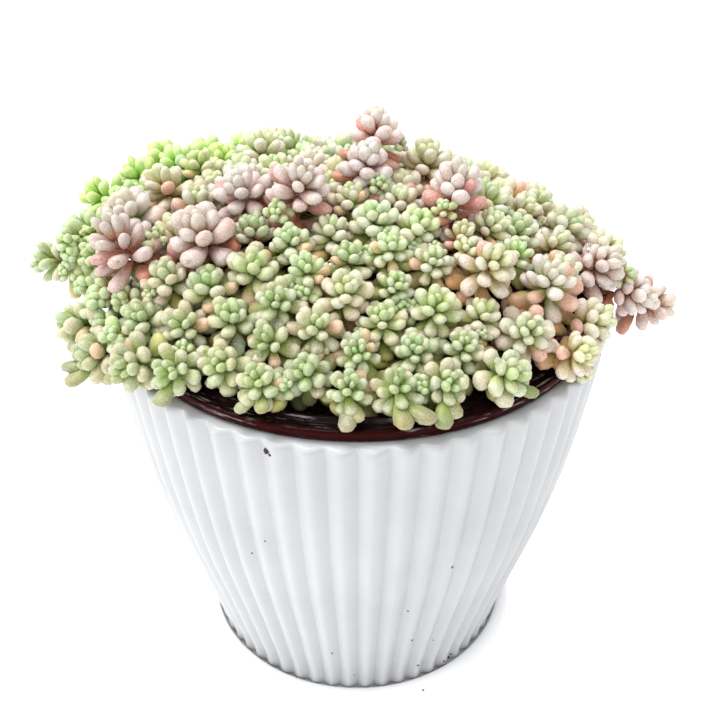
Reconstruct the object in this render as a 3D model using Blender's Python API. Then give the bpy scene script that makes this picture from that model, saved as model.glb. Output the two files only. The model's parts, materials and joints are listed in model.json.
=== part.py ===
"""Potted sedum: a ribbed cover pot on its saucer, a nursery pot hung in it by its lip, soil, and a
mound of fat-leaved sedum shoots. Metres, +Z up. The origin is on the table, under the pot's middle,
and the side seen first faces -Y."""

import math
import random

import bmesh
import bpy
from mathutils import Matrix, Vector
from mathutils.geometry import intersect_point_line

MM = 0.001
GAP = 0.3 * MM

# Heights above the table
SAUCER_FLOOR = 2.0 * MM
FOOT_HEIGHT = SAUCER_FLOOR + GAP
RIM_HEIGHT = 99.5 * MM
SOIL_HEIGHT = RIM_HEIGHT - 9.0 * MM
LIP_TOP = RIM_HEIGHT + 3.6 * MM

# Cover pot
RIB_COUNT = 56
RIB_DEPTH = 1.5 * MM
POT_WALL = 2.2 * MM
POT_RING_INNER = 55.0 * MM
POT_FLOOR = 3.0 * MM
DRAIN_RADIUS = 1.75 * MM
DRAIN_CIRCLE = 22.0 * MM

# Saucer
SAUCER_RADIUS = 45.0 * MM

# Nursery pot and soil
LINER_LIP_RADIUS = 57.4 * MM
LINER_NECK = 53.6 * MM
LINER_WALL = 1.4 * MM
LINER_FOOT = 36.5 * MM
LINER_BOTTOM = 12.0 * MM
TURNED_SIDES = 32

# Sedum mound: how far the heads stand from the pot's axis, and how high above the rim
REACH_LEFT = 73.0 * MM
REACH_RIGHT = 67.0 * MM
REACH_FRONT = 50.5 * MM
REACH_BACK = 59.0 * MM
CROWN_RISE = 28.0 * MM
EDGE_RISE_LOW = 4.5 * MM
EDGE_RISE_HIGH = 19.0 * MM
HIGH_SIDE = math.radians(140)
DOME_POWER = 2.2
LIP_CLEARANCE = 5.2 * MM
HEAD_COUNT = 130
HEAD_SPACING = 10.6 * MM
HEAD_GAP = 0.4 * MM
CELL_SEARCH = 30.0 * MM
# Radius and rise in mm of the points that the rims reach up to
RIM_POINTS = ((53.0, 3.6), (54.5, 2.9), (56.0, 2.9), (57.4, 2.9), (60.6, 0.0))
RIM_INNER = 51.8 * MM
RIM_OUTER = 61.2 * MM
LAYOUT_SEED = 53
LAYOUT_ROUNDS = 150
SUNFLOWER_FILL = 0.985
LIFT_DRAW = (-1.2 * MM, 1.8 * MM)

# Stems
STEM_COUNT = 50
STEM_RADIUS = 1.1 * MM
STEM_DEPTH = 7.0 * MM
STEM_CIRCLE = 42.0 * MM
FORK_LENGTH = 2.6 * MM
FORK_DROP = 6.0 * MM
FORK_INSIDE = 47.0 * MM
FORK_OVER_LIP = 50.0 * MM
LIP_TO_FORK = 3.4 * MM
LIP_BEND = 46.5 * MM
BEND_DROP = 2.0 * MM
TURN_AWAY = 0.7
MOST_HEADS = 4
STEM_ROUNDS = 12
STEM_SHIFT = 0.7
HEAD_DEPTH = {2: 1.1, 3: 1.5}
FORK_TAPER = 0.75
STEM_ROOM = 1.5 * MM
BRANCH_ROOM = 1.8 * MM
NEAR_HEAD = 16.0 * MM

# Leaves. A row of four is given by the height and the radius of its ring, the angle of its leaves
# from the head's axis in degrees, their length and their half width, in leaf reaches of the head
LEAF_ROWS = {
    2: ((-0.16, 0.40, 102, 1.45, 0.62), (0.20, 0.34, 50, 1.3, 0.50)),
    3: ((-0.46, 0.30, 124, 1.15, 0.42), (-0.06, 0.36, 84, 1.2, 0.50), (0.24, 0.30, 42, 1.1, 0.38)),
}
LEAF_BELLY = 0.66
LEAF_SLIM = 0.7
LEAF_SHARES = (1.0, 0.9, 0.8, 0.7, 0.6, 0.5, 0.42)
LEAF_DROOP = 24
OUTWARD_LEAN = 6.0
NECK = 0.3
NECK_DROP = 0.5
BUD_HEIGHT = 0.62

# The heads that stand out of the mound: x, y and lift above the mound in mm, reach of the leaves in
# mm, colour, and rows of leaves
TALL_HEADS = (
    (4, 12, 12, 6.6, "mauve", 3),
    (2, 0, 8, 7.2, "mauve", 3),
    (-13, -9, 7, 8.6, "mauve", 3),
    (22, -7, 7, 8.6, "mauve", 3),
    (17, 15, 4, 6.6, "blush", 2),
    (-52, -17, 7, 8.6, "mauve", 3),
    (-53, -3, 4, 6.4, "mauve", 2),
    (-34, -18, 5, 7.0, "mauve", 2),
    (-26, -5, 5, 6.4, "mauve", 2),
    (-46, 8, 3, 6.2, "blush", 2),
    (28, -27, 6, 8.4, "blush", 3),
    (42, -24, 4, 6.8, "mauve", 2),
    (56, -9, 3, 6.8, "mauve", 3),
    (66, -7, 1, 6.4, "mauve", 3),
    (73, -1, 0, 6.0, "mauve", 2),
    (36, -36, 3, 6.2, "blush", 2),
    (50, 4, 2, 6.2, "blush", 2),
    (-25, 29, 2, 6.2, "blush", 2),
    (-63, -21, -5.0, 5.8, "mint", 2),
    (-57, -30, -4.5, 5.6, "mint", 2),
)

COLOURS = {
    "pot": (0.90, 0.90, 0.90),
    "saucer": (0.88, 0.88, 0.87),
    "liner": (0.035, 0.012, 0.012),
    "soil": (0.045, 0.030, 0.022),
    "mint": (0.56, 0.70, 0.42),
    "lime": (0.42, 0.70, 0.16),
    "blush": (0.70, 0.60, 0.46),
    "mauve": (0.62, 0.49, 0.44),
}


def clear_scene():
    for item in list(bpy.data.objects):
        bpy.data.objects.remove(item, do_unlink=True)


def finish_material(name, roughness):
    """A Principled material in one of the colours above."""
    material = bpy.data.materials.new(name)
    material.use_nodes = True
    shader = material.node_tree.nodes["Principled BSDF"]
    shader.inputs["Base Color"].default_value = (*COLOURS[name], 1)
    shader.inputs["Roughness"].default_value = roughness
    shader.inputs["Metallic"].default_value = 0
    return material


def add_object(name, bm, material, sharp_angle):
    """Links a mesh as a named object, smooth but for edges sharper than the angle in degrees."""
    bmesh.ops.recalc_face_normals(bm, faces=bm.faces)
    mesh = bpy.data.meshes.new(name)
    bm.to_mesh(mesh)
    bm.free()
    mesh.materials.append(material)
    mesh.shade_smooth()
    mesh.set_sharp_from_angle(angle=math.radians(sharp_angle))
    item = bpy.data.objects.new(name, mesh)
    bpy.context.scene.collection.objects.link(item)
    return item


def round_points(radius, height, count, turn=0.0):
    points = []
    for i in range(count):
        angle = turn + 2 * math.pi * i / count
        points.append(Vector((radius * math.cos(angle), radius * math.sin(angle), height)))
    return points


def add_loop(bm, points):
    return [bm.verts.new(point) for point in points]


def loft(bm, loops):
    """Walls between each loop of vertices and the next."""
    for low, high in zip(loops, loops[1:]):
        for i in range(len(low)):
            j = (i + 1) % len(low)
            bm.faces.new((low[i], low[j], high[j], high[i]))


def turned_solid(profile, sides):
    """A solid turned about +Z from (radius, height) points, closed by a disc at each end."""
    bm = bmesh.new()
    loops = [add_loop(bm, round_points(radius, height, sides)) for radius, height in profile]
    loft(bm, loops)
    bm.faces.new(loops[0])
    bm.faces.new(loops[-1])
    return bm


def add_cutter(name, points_low, rise):
    """A prism that cuts a hole: hidden, and drawn as wire."""
    bm = bmesh.new()
    base = bm.faces.new(add_loop(bm, points_low))
    grown = bmesh.ops.extrude_face_region(bm, geom=[base])
    lifted = [item for item in grown["geom"] if isinstance(item, bmesh.types.BMVert)]
    bmesh.ops.translate(bm, verts=lifted, vec=(0, 0, rise))
    bmesh.ops.recalc_face_normals(bm, faces=bm.faces)
    mesh = bpy.data.meshes.new(name)
    bm.to_mesh(mesh)
    bm.free()
    cutter = bpy.data.objects.new(name, mesh)
    bpy.context.scene.collection.objects.link(cutter)
    cutter.hide_render = True
    cutter.display_type = "WIRE"
    return cutter


def cut_holes(item, cutters):
    """Cuts all the holes of an object at once, and applies the cut."""
    holes = bpy.data.collections.new(item.name + "_holes")
    bpy.context.scene.collection.children.link(holes)
    for cutter in cutters:
        holes.objects.link(cutter)
    cut = item.modifiers.new("holes", "BOOLEAN")
    cut.operation = "DIFFERENCE"
    cut.operand_type = "COLLECTION"
    cut.collection = holes
    graph = bpy.context.evaluated_depsgraph_get()
    mesh = bpy.data.meshes.new_from_object(item.evaluated_get(graph))
    item.modifiers.clear()
    item.data = mesh
    for cutter in cutters:
        bpy.data.objects.remove(cutter, do_unlink=True)
    bpy.data.collections.remove(holes)


def drain_cutters(name, low, high):
    """Three small drain holes on a circle."""
    cutters = []
    for i in range(3):
        angle = math.radians(90 + 120 * i)
        centre = Vector((DRAIN_CIRCLE * math.cos(angle), DRAIN_CIRCLE * math.sin(angle), low))
        points = [centre + point for point in round_points(DRAIN_RADIUS, 0, 6)]
        cutters.append(add_cutter(f"{name}_drain_{i}", points, high - low))
    return cutters


def make_saucer():
    """A shallow dish whose broad rim slopes down to the table."""
    profile = [
        (39.6, SAUCER_FLOOR / MM),
        (41.0, 3.0),
        (42.6, 4.8),
        (44.2, 4.1),
        (SAUCER_RADIUS / MM, 2.4),
        (44.6, 0.4),
        (43.2, 0.0),
    ]
    bm = turned_solid([(radius * MM, height * MM) for radius, height in profile], TURNED_SIDES)
    return add_object("saucer", bm, finish_material("saucer", 0.35), 50)


def ribbed_points(valley, depth, height):
    """One level of the ribbed wall: three points a rib, one in the valley and two on the crest."""
    points = []
    for i in range(RIB_COUNT * 3):
        angle = 2 * math.pi * i / (RIB_COUNT * 3)
        radius = valley if i % 3 == 0 else valley + depth
        points.append(Vector((radius * math.cos(angle), radius * math.sin(angle), height)))
    return points


def make_cover_pot():
    """The ribbed pot: a flat ring at the top, ribs that narrow to the foot, and a smooth inside."""
    levels = [
        (58.6, 0.6, RIM_HEIGHT / MM),
        (59.2, 1.0, 98.4),
        (56.1, 1.0, 74.0),
        (51.0, 1.0, 48.0),
        (44.0, 0.9, 22.0),
        (38.6, 0.5, FOOT_HEIGHT / MM),
    ]
    bm = bmesh.new()
    outer = []
    for valley, share, height in levels:
        points = ribbed_points(valley * MM, share * RIB_DEPTH, height * MM)
        outer.append(add_loop(bm, points))
    loft(bm, outer)
    bm.faces.new(outer[-1])
    floor = FOOT_HEIGHT + POT_FLOOR
    inner = [
        (POT_RING_INNER, RIM_HEIGHT),
        (56.1 * MM - POT_WALL, 74.0 * MM),
        (44.0 * MM - POT_WALL, 22.0 * MM),
        (38.6 * MM - POT_WALL, floor),
    ]
    inside = [add_loop(bm, round_points(radius, height, RIB_COUNT)) for radius, height in inner]
    loft(bm, inside)
    bm.faces.new(inside[-1])
    ring_outer, ring_inner = outer[0], inside[0]
    for i in range(RIB_COUNT):
        rib = [ring_outer[(3 * i + k) % len(ring_outer)] for k in range(4)]
        bm.faces.new((*rib, ring_inner[(i + 1) % RIB_COUNT], ring_inner[i]))
    pot = add_object("cover_pot", bm, finish_material("pot", 0.4), 20)
    cut_holes(pot, drain_cutters("cover_pot", FOOT_HEIGHT - MM, floor + MM))
    return pot


def liner_inner(height):
    """Radius of the nursery pot's inside at a height."""
    share = (height - LINER_BOTTOM) / (RIM_HEIGHT - LINER_BOTTOM)
    return LINER_FOOT + (LINER_NECK - LINER_FOOT) * share - LINER_WALL


def make_nursery_pot():
    """The thin dark pot, hung by its rolled lip on the cover pot's ring."""
    floor = LINER_BOTTOM + LINER_WALL
    rise = RIM_HEIGHT / MM
    lip = [
        (LINER_NECK / MM, rise + 0.3),
        (57.0, rise + 0.3),
        (LINER_LIP_RADIUS / MM, rise + 0.8),
        (LINER_LIP_RADIUS / MM, rise + 2.3),
        (56.8, rise + 2.9),
        (54.4, rise + 2.9),
        (53.4, LIP_TOP / MM),
        (52.6, rise + 3.2),
    ]
    profile = [(LINER_FOOT, LINER_BOTTOM)]
    profile += [(radius * MM, height * MM) for radius, height in lip]
    profile += [(liner_inner(RIM_HEIGHT), RIM_HEIGHT), (liner_inner(floor), floor)]
    bm = turned_solid(profile, TURNED_SIDES)
    liner = add_object("nursery_pot", bm, finish_material("liner", 0.15), 40)
    cut_holes(liner, drain_cutters("nursery_pot", LINER_BOTTOM - MM, floor + MM))
    return liner


def mound_reach(angle):
    """How far from the axis the outermost heads stand, an ellipse with its own half for each side."""
    across = REACH_RIGHT if math.cos(angle) > 0 else REACH_LEFT
    depth = REACH_BACK if math.sin(angle) > 0 else REACH_FRONT
    return 1 / math.hypot(math.cos(angle) / across, math.sin(angle) / depth)


def mound_edge(angle):
    """Rise of the mound's edge above the rim, highest at the back left."""
    return EDGE_RISE_LOW + (EDGE_RISE_HIGH - EDGE_RISE_LOW) * max(0.0, math.cos(angle - HIGH_SIDE)) ** 2


def mound_rise(x, y):
    """Rise of the mound of heads above the rim."""
    angle = math.atan2(y, x)
    share = math.hypot(x, y) / mound_reach(angle)
    return CROWN_RISE - (CROWN_RISE - mound_edge(angle)) * share**DOME_POWER


def mound_normal(x, y):
    step = 0.5 * MM
    slope_x = (mound_rise(x + step, y) - mound_rise(x - step, y)) / (2 * step)
    slope_y = (mound_rise(x, y + step) - mound_rise(x, y - step)) / (2 * step)
    return Vector((-slope_x, -slope_y, 1)).normalized()


def rise_over_rim(radius, clearance):
    """Least rise of a head's middle that clears the two pots' rims."""
    least = -RIM_HEIGHT
    for edge, top in RIM_POINTS:
        across = abs(radius - edge * MM)
        if across < clearance:
            least = max(least, top * MM + math.sqrt(clearance**2 - across**2))
    return least


def head_place(x, y, lift):
    rise = max(mound_rise(x, y) + lift, rise_over_rim(math.hypot(x, y), LIP_CLEARANCE))
    return Vector((x, y, RIM_HEIGHT + rise))


def sunflower(count, draw, scatter):
    """Even points over the mound's outline, on a sunflower's spiral, each moved a little."""
    points = []
    for i in range(count):
        share = math.sqrt((i + 0.5) / count) * SUNFLOWER_FILL
        angle = i * math.pi * (3 - math.sqrt(5))
        radius = share * mound_reach(angle)
        x = radius * math.cos(angle) + draw.uniform(-scatter, scatter)
        y = radius * math.sin(angle) + draw.uniform(-scatter, scatter)
        points.append((x, y))
    return points


def nearest(point, others):
    return min(range(len(others)), key=lambda i: math.dist(point, others[i]))


def lay_out_heads():
    """Middle, leaf reach, colour and rows of every head. The tall ones stay, the rest spread apart."""
    draw = random.Random(LAYOUT_SEED)
    heads = []
    for x, y, lift, reach, colour, rows in TALL_HEADS:
        place = head_place(x * MM, y * MM, lift * MM)
        heads.append({"place": place, "reach": reach * MM, "colour": colour, "rows": rows})
    spots = sunflower(HEAD_COUNT, draw, 1.2 * MM)
    for head in heads:
        spots.pop(nearest(head["place"].xy, spots))
    lifts = [draw.uniform(*LIFT_DRAW) for _ in spots]
    for (x, y), lift in zip(spots, lifts):
        place = head_place(x, y, lift)
        heads.append({"place": place, "reach": HEAD_SPACING / 2, "colour": None, "rows": 2})
    fixed = len(TALL_HEADS)
    for _ in range(LAYOUT_ROUNDS):
        moves = spread(heads)
        for head, move, lift in zip(heads[fixed:], moves[fixed:], lifts):
            spot = head["place"].xy + 0.5 * move
            limit = mound_reach(math.atan2(spot.y, spot.x))
            if spot.length > limit:
                spot *= limit / spot.length
            head["place"] = head_place(spot.x, spot.y, lift)
    share_room(heads)
    for head in heads:
        dress_head(head, draw)
    return heads


def spread(heads):
    """The sideways push on each head from those that it crowds."""
    moves = [Vector((0, 0)) for _ in heads]
    for i, head in enumerate(heads):
        for j in range(i + 1, len(heads)):
            between = head["place"] - heads[j]["place"]
            wanted = head["reach"] + heads[j]["reach"]
            if between.length < wanted:
                push = between.xy * (0.5 * (wanted - between.length) / between.length)
                moves[i] += push
                moves[j] -= push
    return moves


def share_room(heads):
    """Gives each head its cell: flat walls that share out the way to each of its neighbours."""
    for head in heads:
        head["walls"] = []
        for other in heads:
            between = other["place"] - head["place"]
            if other is not head and between.length < CELL_SEARCH:
                share = head["reach"] / (head["reach"] + other["reach"])
                head["walls"].append((between.normalized(), between.length * share - HEAD_GAP / 2))
    for head in heads:
        head["reach"] = min([head["reach"]] + [room for _, room in head["walls"]])


def keep_in_cell(point, head):
    """Draws a point towards the head's middle until the head's cell holds it."""
    offset = point - head["place"]
    share = 1.0
    for direction, room in head["walls"]:
        across = offset.dot(direction)
        if across > room:
            share = min(share, room / across)
    return head["place"] + offset * share


def rim_top(radius):
    """Rise of the two pots' rims above the cover pot's ring, at a distance from the axis."""
    if RIM_INNER < radius < LINER_LIP_RADIUS + GAP:
        return LIP_TOP - RIM_HEIGHT
    if RIM_INNER < radius < RIM_OUTER:
        return 0.0
    return -RIM_HEIGHT


def is_free(points, stems):
    """Whether points stand clear of the rims and of the stems, given as (start, end, radius)."""
    for point in points:
        if point.z < RIM_HEIGHT + rim_top(point.xy.length) + GAP:
            return False
        for start, end, radius in stems:
            if gap_to_line(point, start, end) < radius:
                return False
    return True


def gap_to_line(point, start, end):
    share = intersect_point_line(point, start, end)[1]
    return (point - start.lerp(end, min(1.0, max(0.0, share)))).length


def dress_head(head, draw):
    """Turns a head out from the mound, more so past the rim, and lets its outer leaves droop."""
    x, y = head["place"].xy
    lean = Vector((draw.uniform(-0.18, 0.18), draw.uniform(-0.18, 0.18), 0.25))
    over = max(0.0, math.hypot(x, y) - RIM_INNER) / RIM_INNER
    outward = Vector((x, y, 0)).normalized() * OUTWARD_LEAN * over
    head["axis"] = (mound_normal(x, y) + lean + outward).normalized()
    share = math.hypot(x, y) / mound_reach(math.atan2(y, x))
    head["droop"] = LEAF_DROOP * max(0.0, share - 0.6) / 0.4
    chance = draw.random()
    if head["colour"] is None:
        head["colour"] = colour_of_place(x, y, share, chance)


def colour_of_place(x, y, share, chance):
    """Lime at the back left edge, mostly blushed at the right and the back, mint at the front."""
    if share > 0.7 and math.radians(118) < math.atan2(y, x) < math.radians(180):
        return "lime"
    if x > 22 * MM:
        return "blush" if chance < 0.6 else "mint"
    if y < -12 * MM:
        return "blush" if chance < 0.2 else "mint"
    if chance < 0.15:
        return "mauve"
    return "blush" if chance < 0.5 else "mint"


def lay_out_stems(heads):
    """Where each stem stands in the mound's outline, with the heads that it carries."""
    draw = random.Random(LAYOUT_SEED + 1)
    stems = [head["place"].xy for head in heads if head["rows"] == 3]
    fixed = len(stems)
    spots = sunflower(STEM_COUNT, draw, 0.0)
    for stem in stems:
        spots.pop(nearest(stem, spots))
    stems += [Vector(spot) for spot in spots]
    for _ in range(STEM_ROUNDS):
        owned = share_heads(stems, heads)
        for k in range(fixed, len(stems)):
            if owned[k]:
                middle = sum((head["place"].xy for head in owned[k]), Vector((0, 0))) / len(owned[k])
                stems[k] = stems[k].lerp(middle, STEM_SHIFT)
    owned = share_heads(stems, heads)
    return [(stem, group) for stem, group in zip(stems, owned) if group]


def share_heads(stems, heads):
    """Gives each head to the nearest stem that can still carry one."""
    owned = [[] for _ in stems]
    for head in heads:
        order = sorted(range(len(stems)), key=lambda k: (stems[k] - head["place"].xy).length)
        for k in order:
            if len(owned[k]) < MOST_HEADS:
                owned[k].append(head)
                break
    return owned


def square_ring(centre, normal, radius, start):
    """Four points round a centre, the first one nearest to the start direction."""
    first = (start - normal * start.dot(normal)).normalized()
    second = normal.cross(first)
    return [centre + radius * side for side in (first, second, -first, -second)]


def extend(bm, face, points):
    """Grows a face to new points. Returns the walls, in order, and the new end face."""
    old = list(face.verts)
    bm.faces.remove(face)
    new = [bm.verts.new(point) for point in points]
    walls = []
    for i in range(len(old)):
        j = (i + 1) % len(old)
        walls.append(bm.faces.new((old[i], old[j], new[j], new[i])))
    return walls, bm.faces.new(new)


def split_row(bm, walls):
    """Splits each wall of a row that turns by half a step. Returns the half that hangs from above."""
    hanging = []
    for wall in walls:
        low_a, low_b, high_b, high_a = wall.verts
        bm.faces.remove(wall)
        bm.faces.new((low_a, low_b, high_a))
        hanging.append(bm.faces.new((low_b, high_b, high_a)))
    return hanging


def leaf_points(face, tip, width, head):
    """The three points of a leaf's belly, in line with those of its root."""
    middle = face.calc_center_median()
    along = (tip - middle).normalized()
    centre = middle.lerp(tip, LEAF_BELLY)
    first = face.verts[0].co - middle
    first = (first - along * first.dot(along)).normalized()
    points = []
    for i in range(3):
        turn = Matrix.Rotation(math.tau * i / 3, 3, along)
        points.append(keep_in_cell(centre + width * (turn @ first), head))
    return points


def grow_leaf(bm, face, way, length, width, head, stems):
    """Raises a fat leaf from a face: out to its belly, then in to its tip. It is cut shorter where
    a rim or a stem is in its way."""
    for share in LEAF_SHARES:
        tip = keep_in_cell(head["place"] + way * length * share, head)
        middle = face.calc_center_median()
        fit = min(1.0, (tip - middle).length / (length * LEAF_SLIM))
        points = leaf_points(face, tip, width * fit, head)
        between = [point.lerp(tip, 0.5) for point in points]
        if is_free(points + between + [tip], stems):
            break
    _, end = extend(bm, face, points)
    verts = list(end.verts)
    bm.faces.remove(end)
    point = bm.verts.new(tip)
    for i in range(3):
        bm.faces.new((verts[i], verts[(i + 1) % 3], point))


def grow_head(bm, face, head, stems, draw):
    """A rosette at the end of a stem: rows of four leaves, each row turned half a step, and a bud."""
    centre, axis, reach = head["place"], head["axis"], head["reach"]
    outward = Vector((centre.x, centre.y, 0)).normalized()
    start = face.verts[0].co - face.calc_center_median()
    quarter = Matrix.Rotation(math.radians(45), 3, axis)
    _, end = extend(bm, face, square_ring(head_base(head), axis, NECK * reach, start))
    for height, radius, polar, length, width in LEAF_ROWS[head["rows"]]:
        start = end.verts[0].co - end.calc_center_median()
        ring = square_ring(centre + axis * height * reach, axis, radius * reach, quarter @ start)
        walls, end = extend(bm, end, ring)
        for hanging in split_row(bm, walls):
            out = hanging.calc_center_median() - centre
            out = (out - axis * out.dot(axis)).normalized()
            droop = head["droop"] * max(0.0, out.dot(outward))
            tilt = math.radians(polar + droop + draw.uniform(-4, 4))
            way = out * math.sin(tilt) + axis * math.cos(tilt)
            full = reach * length * draw.uniform(0.93, 1.0)
            grow_leaf(bm, hanging, way, full, width * reach, head, stems)
    top = list(end.verts)
    bm.faces.remove(end)
    bud = bm.verts.new(centre + axis * reach * BUD_HEIGHT)
    for i in range(4):
        bm.faces.new((top[i], top[(i + 1) % 4], bud))


def stem_spot(stem):
    """Where a stem stands in the soil: the mound's outline drawn in to the soil's."""
    return stem * (STEM_CIRCLE / mound_reach(math.atan2(stem.y, stem.x)))


def stem_route(stem, group):
    """Middle points of a stem from the foot of its hole to the top of its fork."""
    foot = stem_spot(stem)
    count = len(group)
    middle = sum((head["place"] for head in group), Vector()) / count
    axis = sum((head["axis"] for head in group), Vector()).normalized()
    drop = max(head["reach"] * HEAD_DEPTH[head["rows"]] for head in group) + FORK_DROP
    fork = middle - axis * drop
    across = fork.xy.length
    if across > FORK_INSIDE:
        fork = Vector((*(fork.xy * (FORK_OVER_LIP / across)), max(fork.z, LIP_TOP + LIP_TO_FORK)))
    low = Vector((*foot, SOIL_HEIGHT - STEM_DEPTH + GAP))
    ground = Vector((*foot, SOIL_HEIGHT + MM))
    route = [low, ground]
    way = (middle - fork).normalized()
    if fork.xy.length > FORK_INSIDE:
        bend = fork.xy * (LIP_BEND / fork.xy.length)
        route.append(Vector((*bend, fork.z - BEND_DROP)))
    route += [fork, fork + way * FORK_LENGTH]
    return route


def head_base(head):
    """Where a head's stem joins it."""
    lowest = LEAF_ROWS[head["rows"]][0][0] - NECK_DROP
    return head["place"] + head["axis"] * lowest * head["reach"]


def plan_shoot(stem, group):
    """The route of a stem, with its leading head and its side heads."""
    route = stem_route(stem, group)
    fork = (route[-2] + route[-1]) / 2
    way = (route[-1] - route[-2]).normalized()
    if fork.xy.length > FORK_INSIDE:
        for head in group:
            apart = (head["place"] - route[-1]).normalized()
            head["axis"] = (head["axis"] + apart * TURN_AWAY).normalized()
    colours = [head["colour"] for head in group]
    colour = max(sorted(set(colours), reverse=True), key=colours.count)
    if group[0]["rows"] == 3:
        colour = group[0]["colour"]
    group = sorted(group, key=lambda head: -(head["place"] - fork).normalized().dot(way))
    pieces = [(a, b, STEM_ROOM, None) for a, b in zip(route, route[1:])]
    pieces += [(fork, head_base(head), BRANCH_ROOM, head) for head in group]
    plan = {"route": route, "leader": group[0], "sides": group[1:]}
    return plan | {"pieces": pieces, "colour": colour}


def grow_shoot(plan, stems, draw):
    """One branching stem with its heads, as one closed mesh."""
    route, sides = plan["route"], plan["sides"]
    fork = (route[-2] + route[-1]) / 2
    start = Vector((1, 0, 0))
    if sides:
        out = sides[0]["place"] - fork
        out = Vector((out.x, out.y, 0)).normalized()
        start = Matrix.Rotation(math.radians(-45), 3, "Z") @ out
    bm = bmesh.new()
    base = [bm.verts.new(point) for point in square_ring(route[0], Vector((0, 0, 1)), STEM_RADIUS, start)]
    end = bm.faces.new(base)
    walls = []
    for i in range(1, len(route)):
        before = (route[i] - route[i - 1]).normalized()
        after = (route[i + 1] - route[i]).normalized() if i + 1 < len(route) else before
        normal = Vector((0, 0, 1)) if i == 1 else (before + after).normalized()
        start = end.verts[0].co - end.calc_center_median()
        radius = STEM_RADIUS * (FORK_TAPER if i == len(route) - 1 else 1.0)
        walls, end = extend(bm, end, square_ring(route[i], normal, radius, start))
    bm.faces.new(base[::-1])
    for head, wall in match_walls(sides, walls) + [(plan["leader"], end)]:
        near = []
        for low, high, room, owner in stems:
            if owner is not head and gap_to_line(head["place"], low, high) < NEAR_HEAD:
                near.append((low, high, room))
        grow_head(bm, wall, head, near, draw)
    return bm


def match_walls(heads, walls):
    """Pairs each side head with the wall of the fork that faces it best."""
    pairs = []
    free = list(walls)
    for wall in free:
        wall.normal_update()
    for head in heads:
        ways = [(head["place"] - wall.calc_center_median()).normalized() for wall in free]
        best = max(range(len(free)), key=lambda i: ways[i].dot(free[i].normal))
        pairs.append((head, free.pop(best)))
    return pairs


def make_shoots():
    """Every shoot of the mound. Returns the corners of each stem's foot, for its hole."""
    heads = lay_out_heads()
    materials = {name: finish_material(name, 0.6) for name in ("mint", "lime", "blush", "mauve")}
    draw = random.Random(LAYOUT_SEED + 2)
    plans = [plan_shoot(stem, group) for stem, group in lay_out_stems(heads)]
    stems = [piece for plan in plans for piece in plan["pieces"]]
    feet = []
    for number, plan in enumerate(plans, 1):
        bm = grow_shoot(plan, stems, draw)
        bm.verts.ensure_lookup_table()
        feet.append([vert.co.copy() for vert in list(bm.verts)[:4]])
        bmesh.ops.triangulate(bm, faces=bm.faces)
        colour = plan["colour"]
        add_object(f"{colour}_shoot_{number:02d}", bm, materials[colour], 70)
    return feet


def make_soil(feet):
    """The root ball, a little clear of the pot's wall, with a plain hole for each stem."""
    floor = LINER_BOTTOM + LINER_WALL + GAP
    profile = [
        (liner_inner(SOIL_HEIGHT) - GAP, SOIL_HEIGHT),
        (liner_inner(floor) - GAP, floor),
    ]
    bm = turned_solid(profile, TURNED_SIDES)
    soil = add_object("soil", bm, finish_material("soil", 0.95), 40)
    cutters = []
    for number, foot in enumerate(feet):
        centre = sum(foot, Vector()) / 4
        centre.z = SOIL_HEIGHT - STEM_DEPTH
        widen = (STEM_RADIUS + GAP * math.sqrt(2)) / STEM_RADIUS
        points = []
        for corner in foot:
            offset = (corner - centre) * widen
            points.append(Vector((centre.x + offset.x, centre.y + offset.y, centre.z)))
        cutters.append(add_cutter(f"stem_hole_{number}", points, STEM_DEPTH + 2 * MM))
    cut_holes(soil, cutters)
    return soil


clear_scene()
make_saucer()
make_cover_pot()
make_nursery_pot()
make_soil(make_shoots())
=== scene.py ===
import json
import math
import random

import bmesh
import bpy
from mathutils import Matrix, Vector

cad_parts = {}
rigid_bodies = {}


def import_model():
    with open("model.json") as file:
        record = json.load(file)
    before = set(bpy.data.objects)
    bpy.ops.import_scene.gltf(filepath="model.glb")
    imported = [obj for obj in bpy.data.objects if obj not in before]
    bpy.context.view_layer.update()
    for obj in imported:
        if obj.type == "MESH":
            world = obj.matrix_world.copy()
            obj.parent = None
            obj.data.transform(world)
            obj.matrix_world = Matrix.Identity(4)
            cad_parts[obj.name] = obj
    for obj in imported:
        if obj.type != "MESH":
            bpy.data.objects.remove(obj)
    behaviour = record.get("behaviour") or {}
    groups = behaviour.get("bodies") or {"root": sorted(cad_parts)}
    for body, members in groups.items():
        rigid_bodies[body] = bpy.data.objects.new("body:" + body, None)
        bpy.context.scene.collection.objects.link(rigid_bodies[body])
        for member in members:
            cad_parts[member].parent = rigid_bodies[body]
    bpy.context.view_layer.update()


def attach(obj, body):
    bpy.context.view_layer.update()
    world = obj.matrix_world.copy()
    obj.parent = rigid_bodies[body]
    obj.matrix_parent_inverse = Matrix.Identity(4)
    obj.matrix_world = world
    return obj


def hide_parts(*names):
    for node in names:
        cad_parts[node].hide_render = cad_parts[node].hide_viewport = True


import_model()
scene = bpy.context.scene
MM = 0.001


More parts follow.
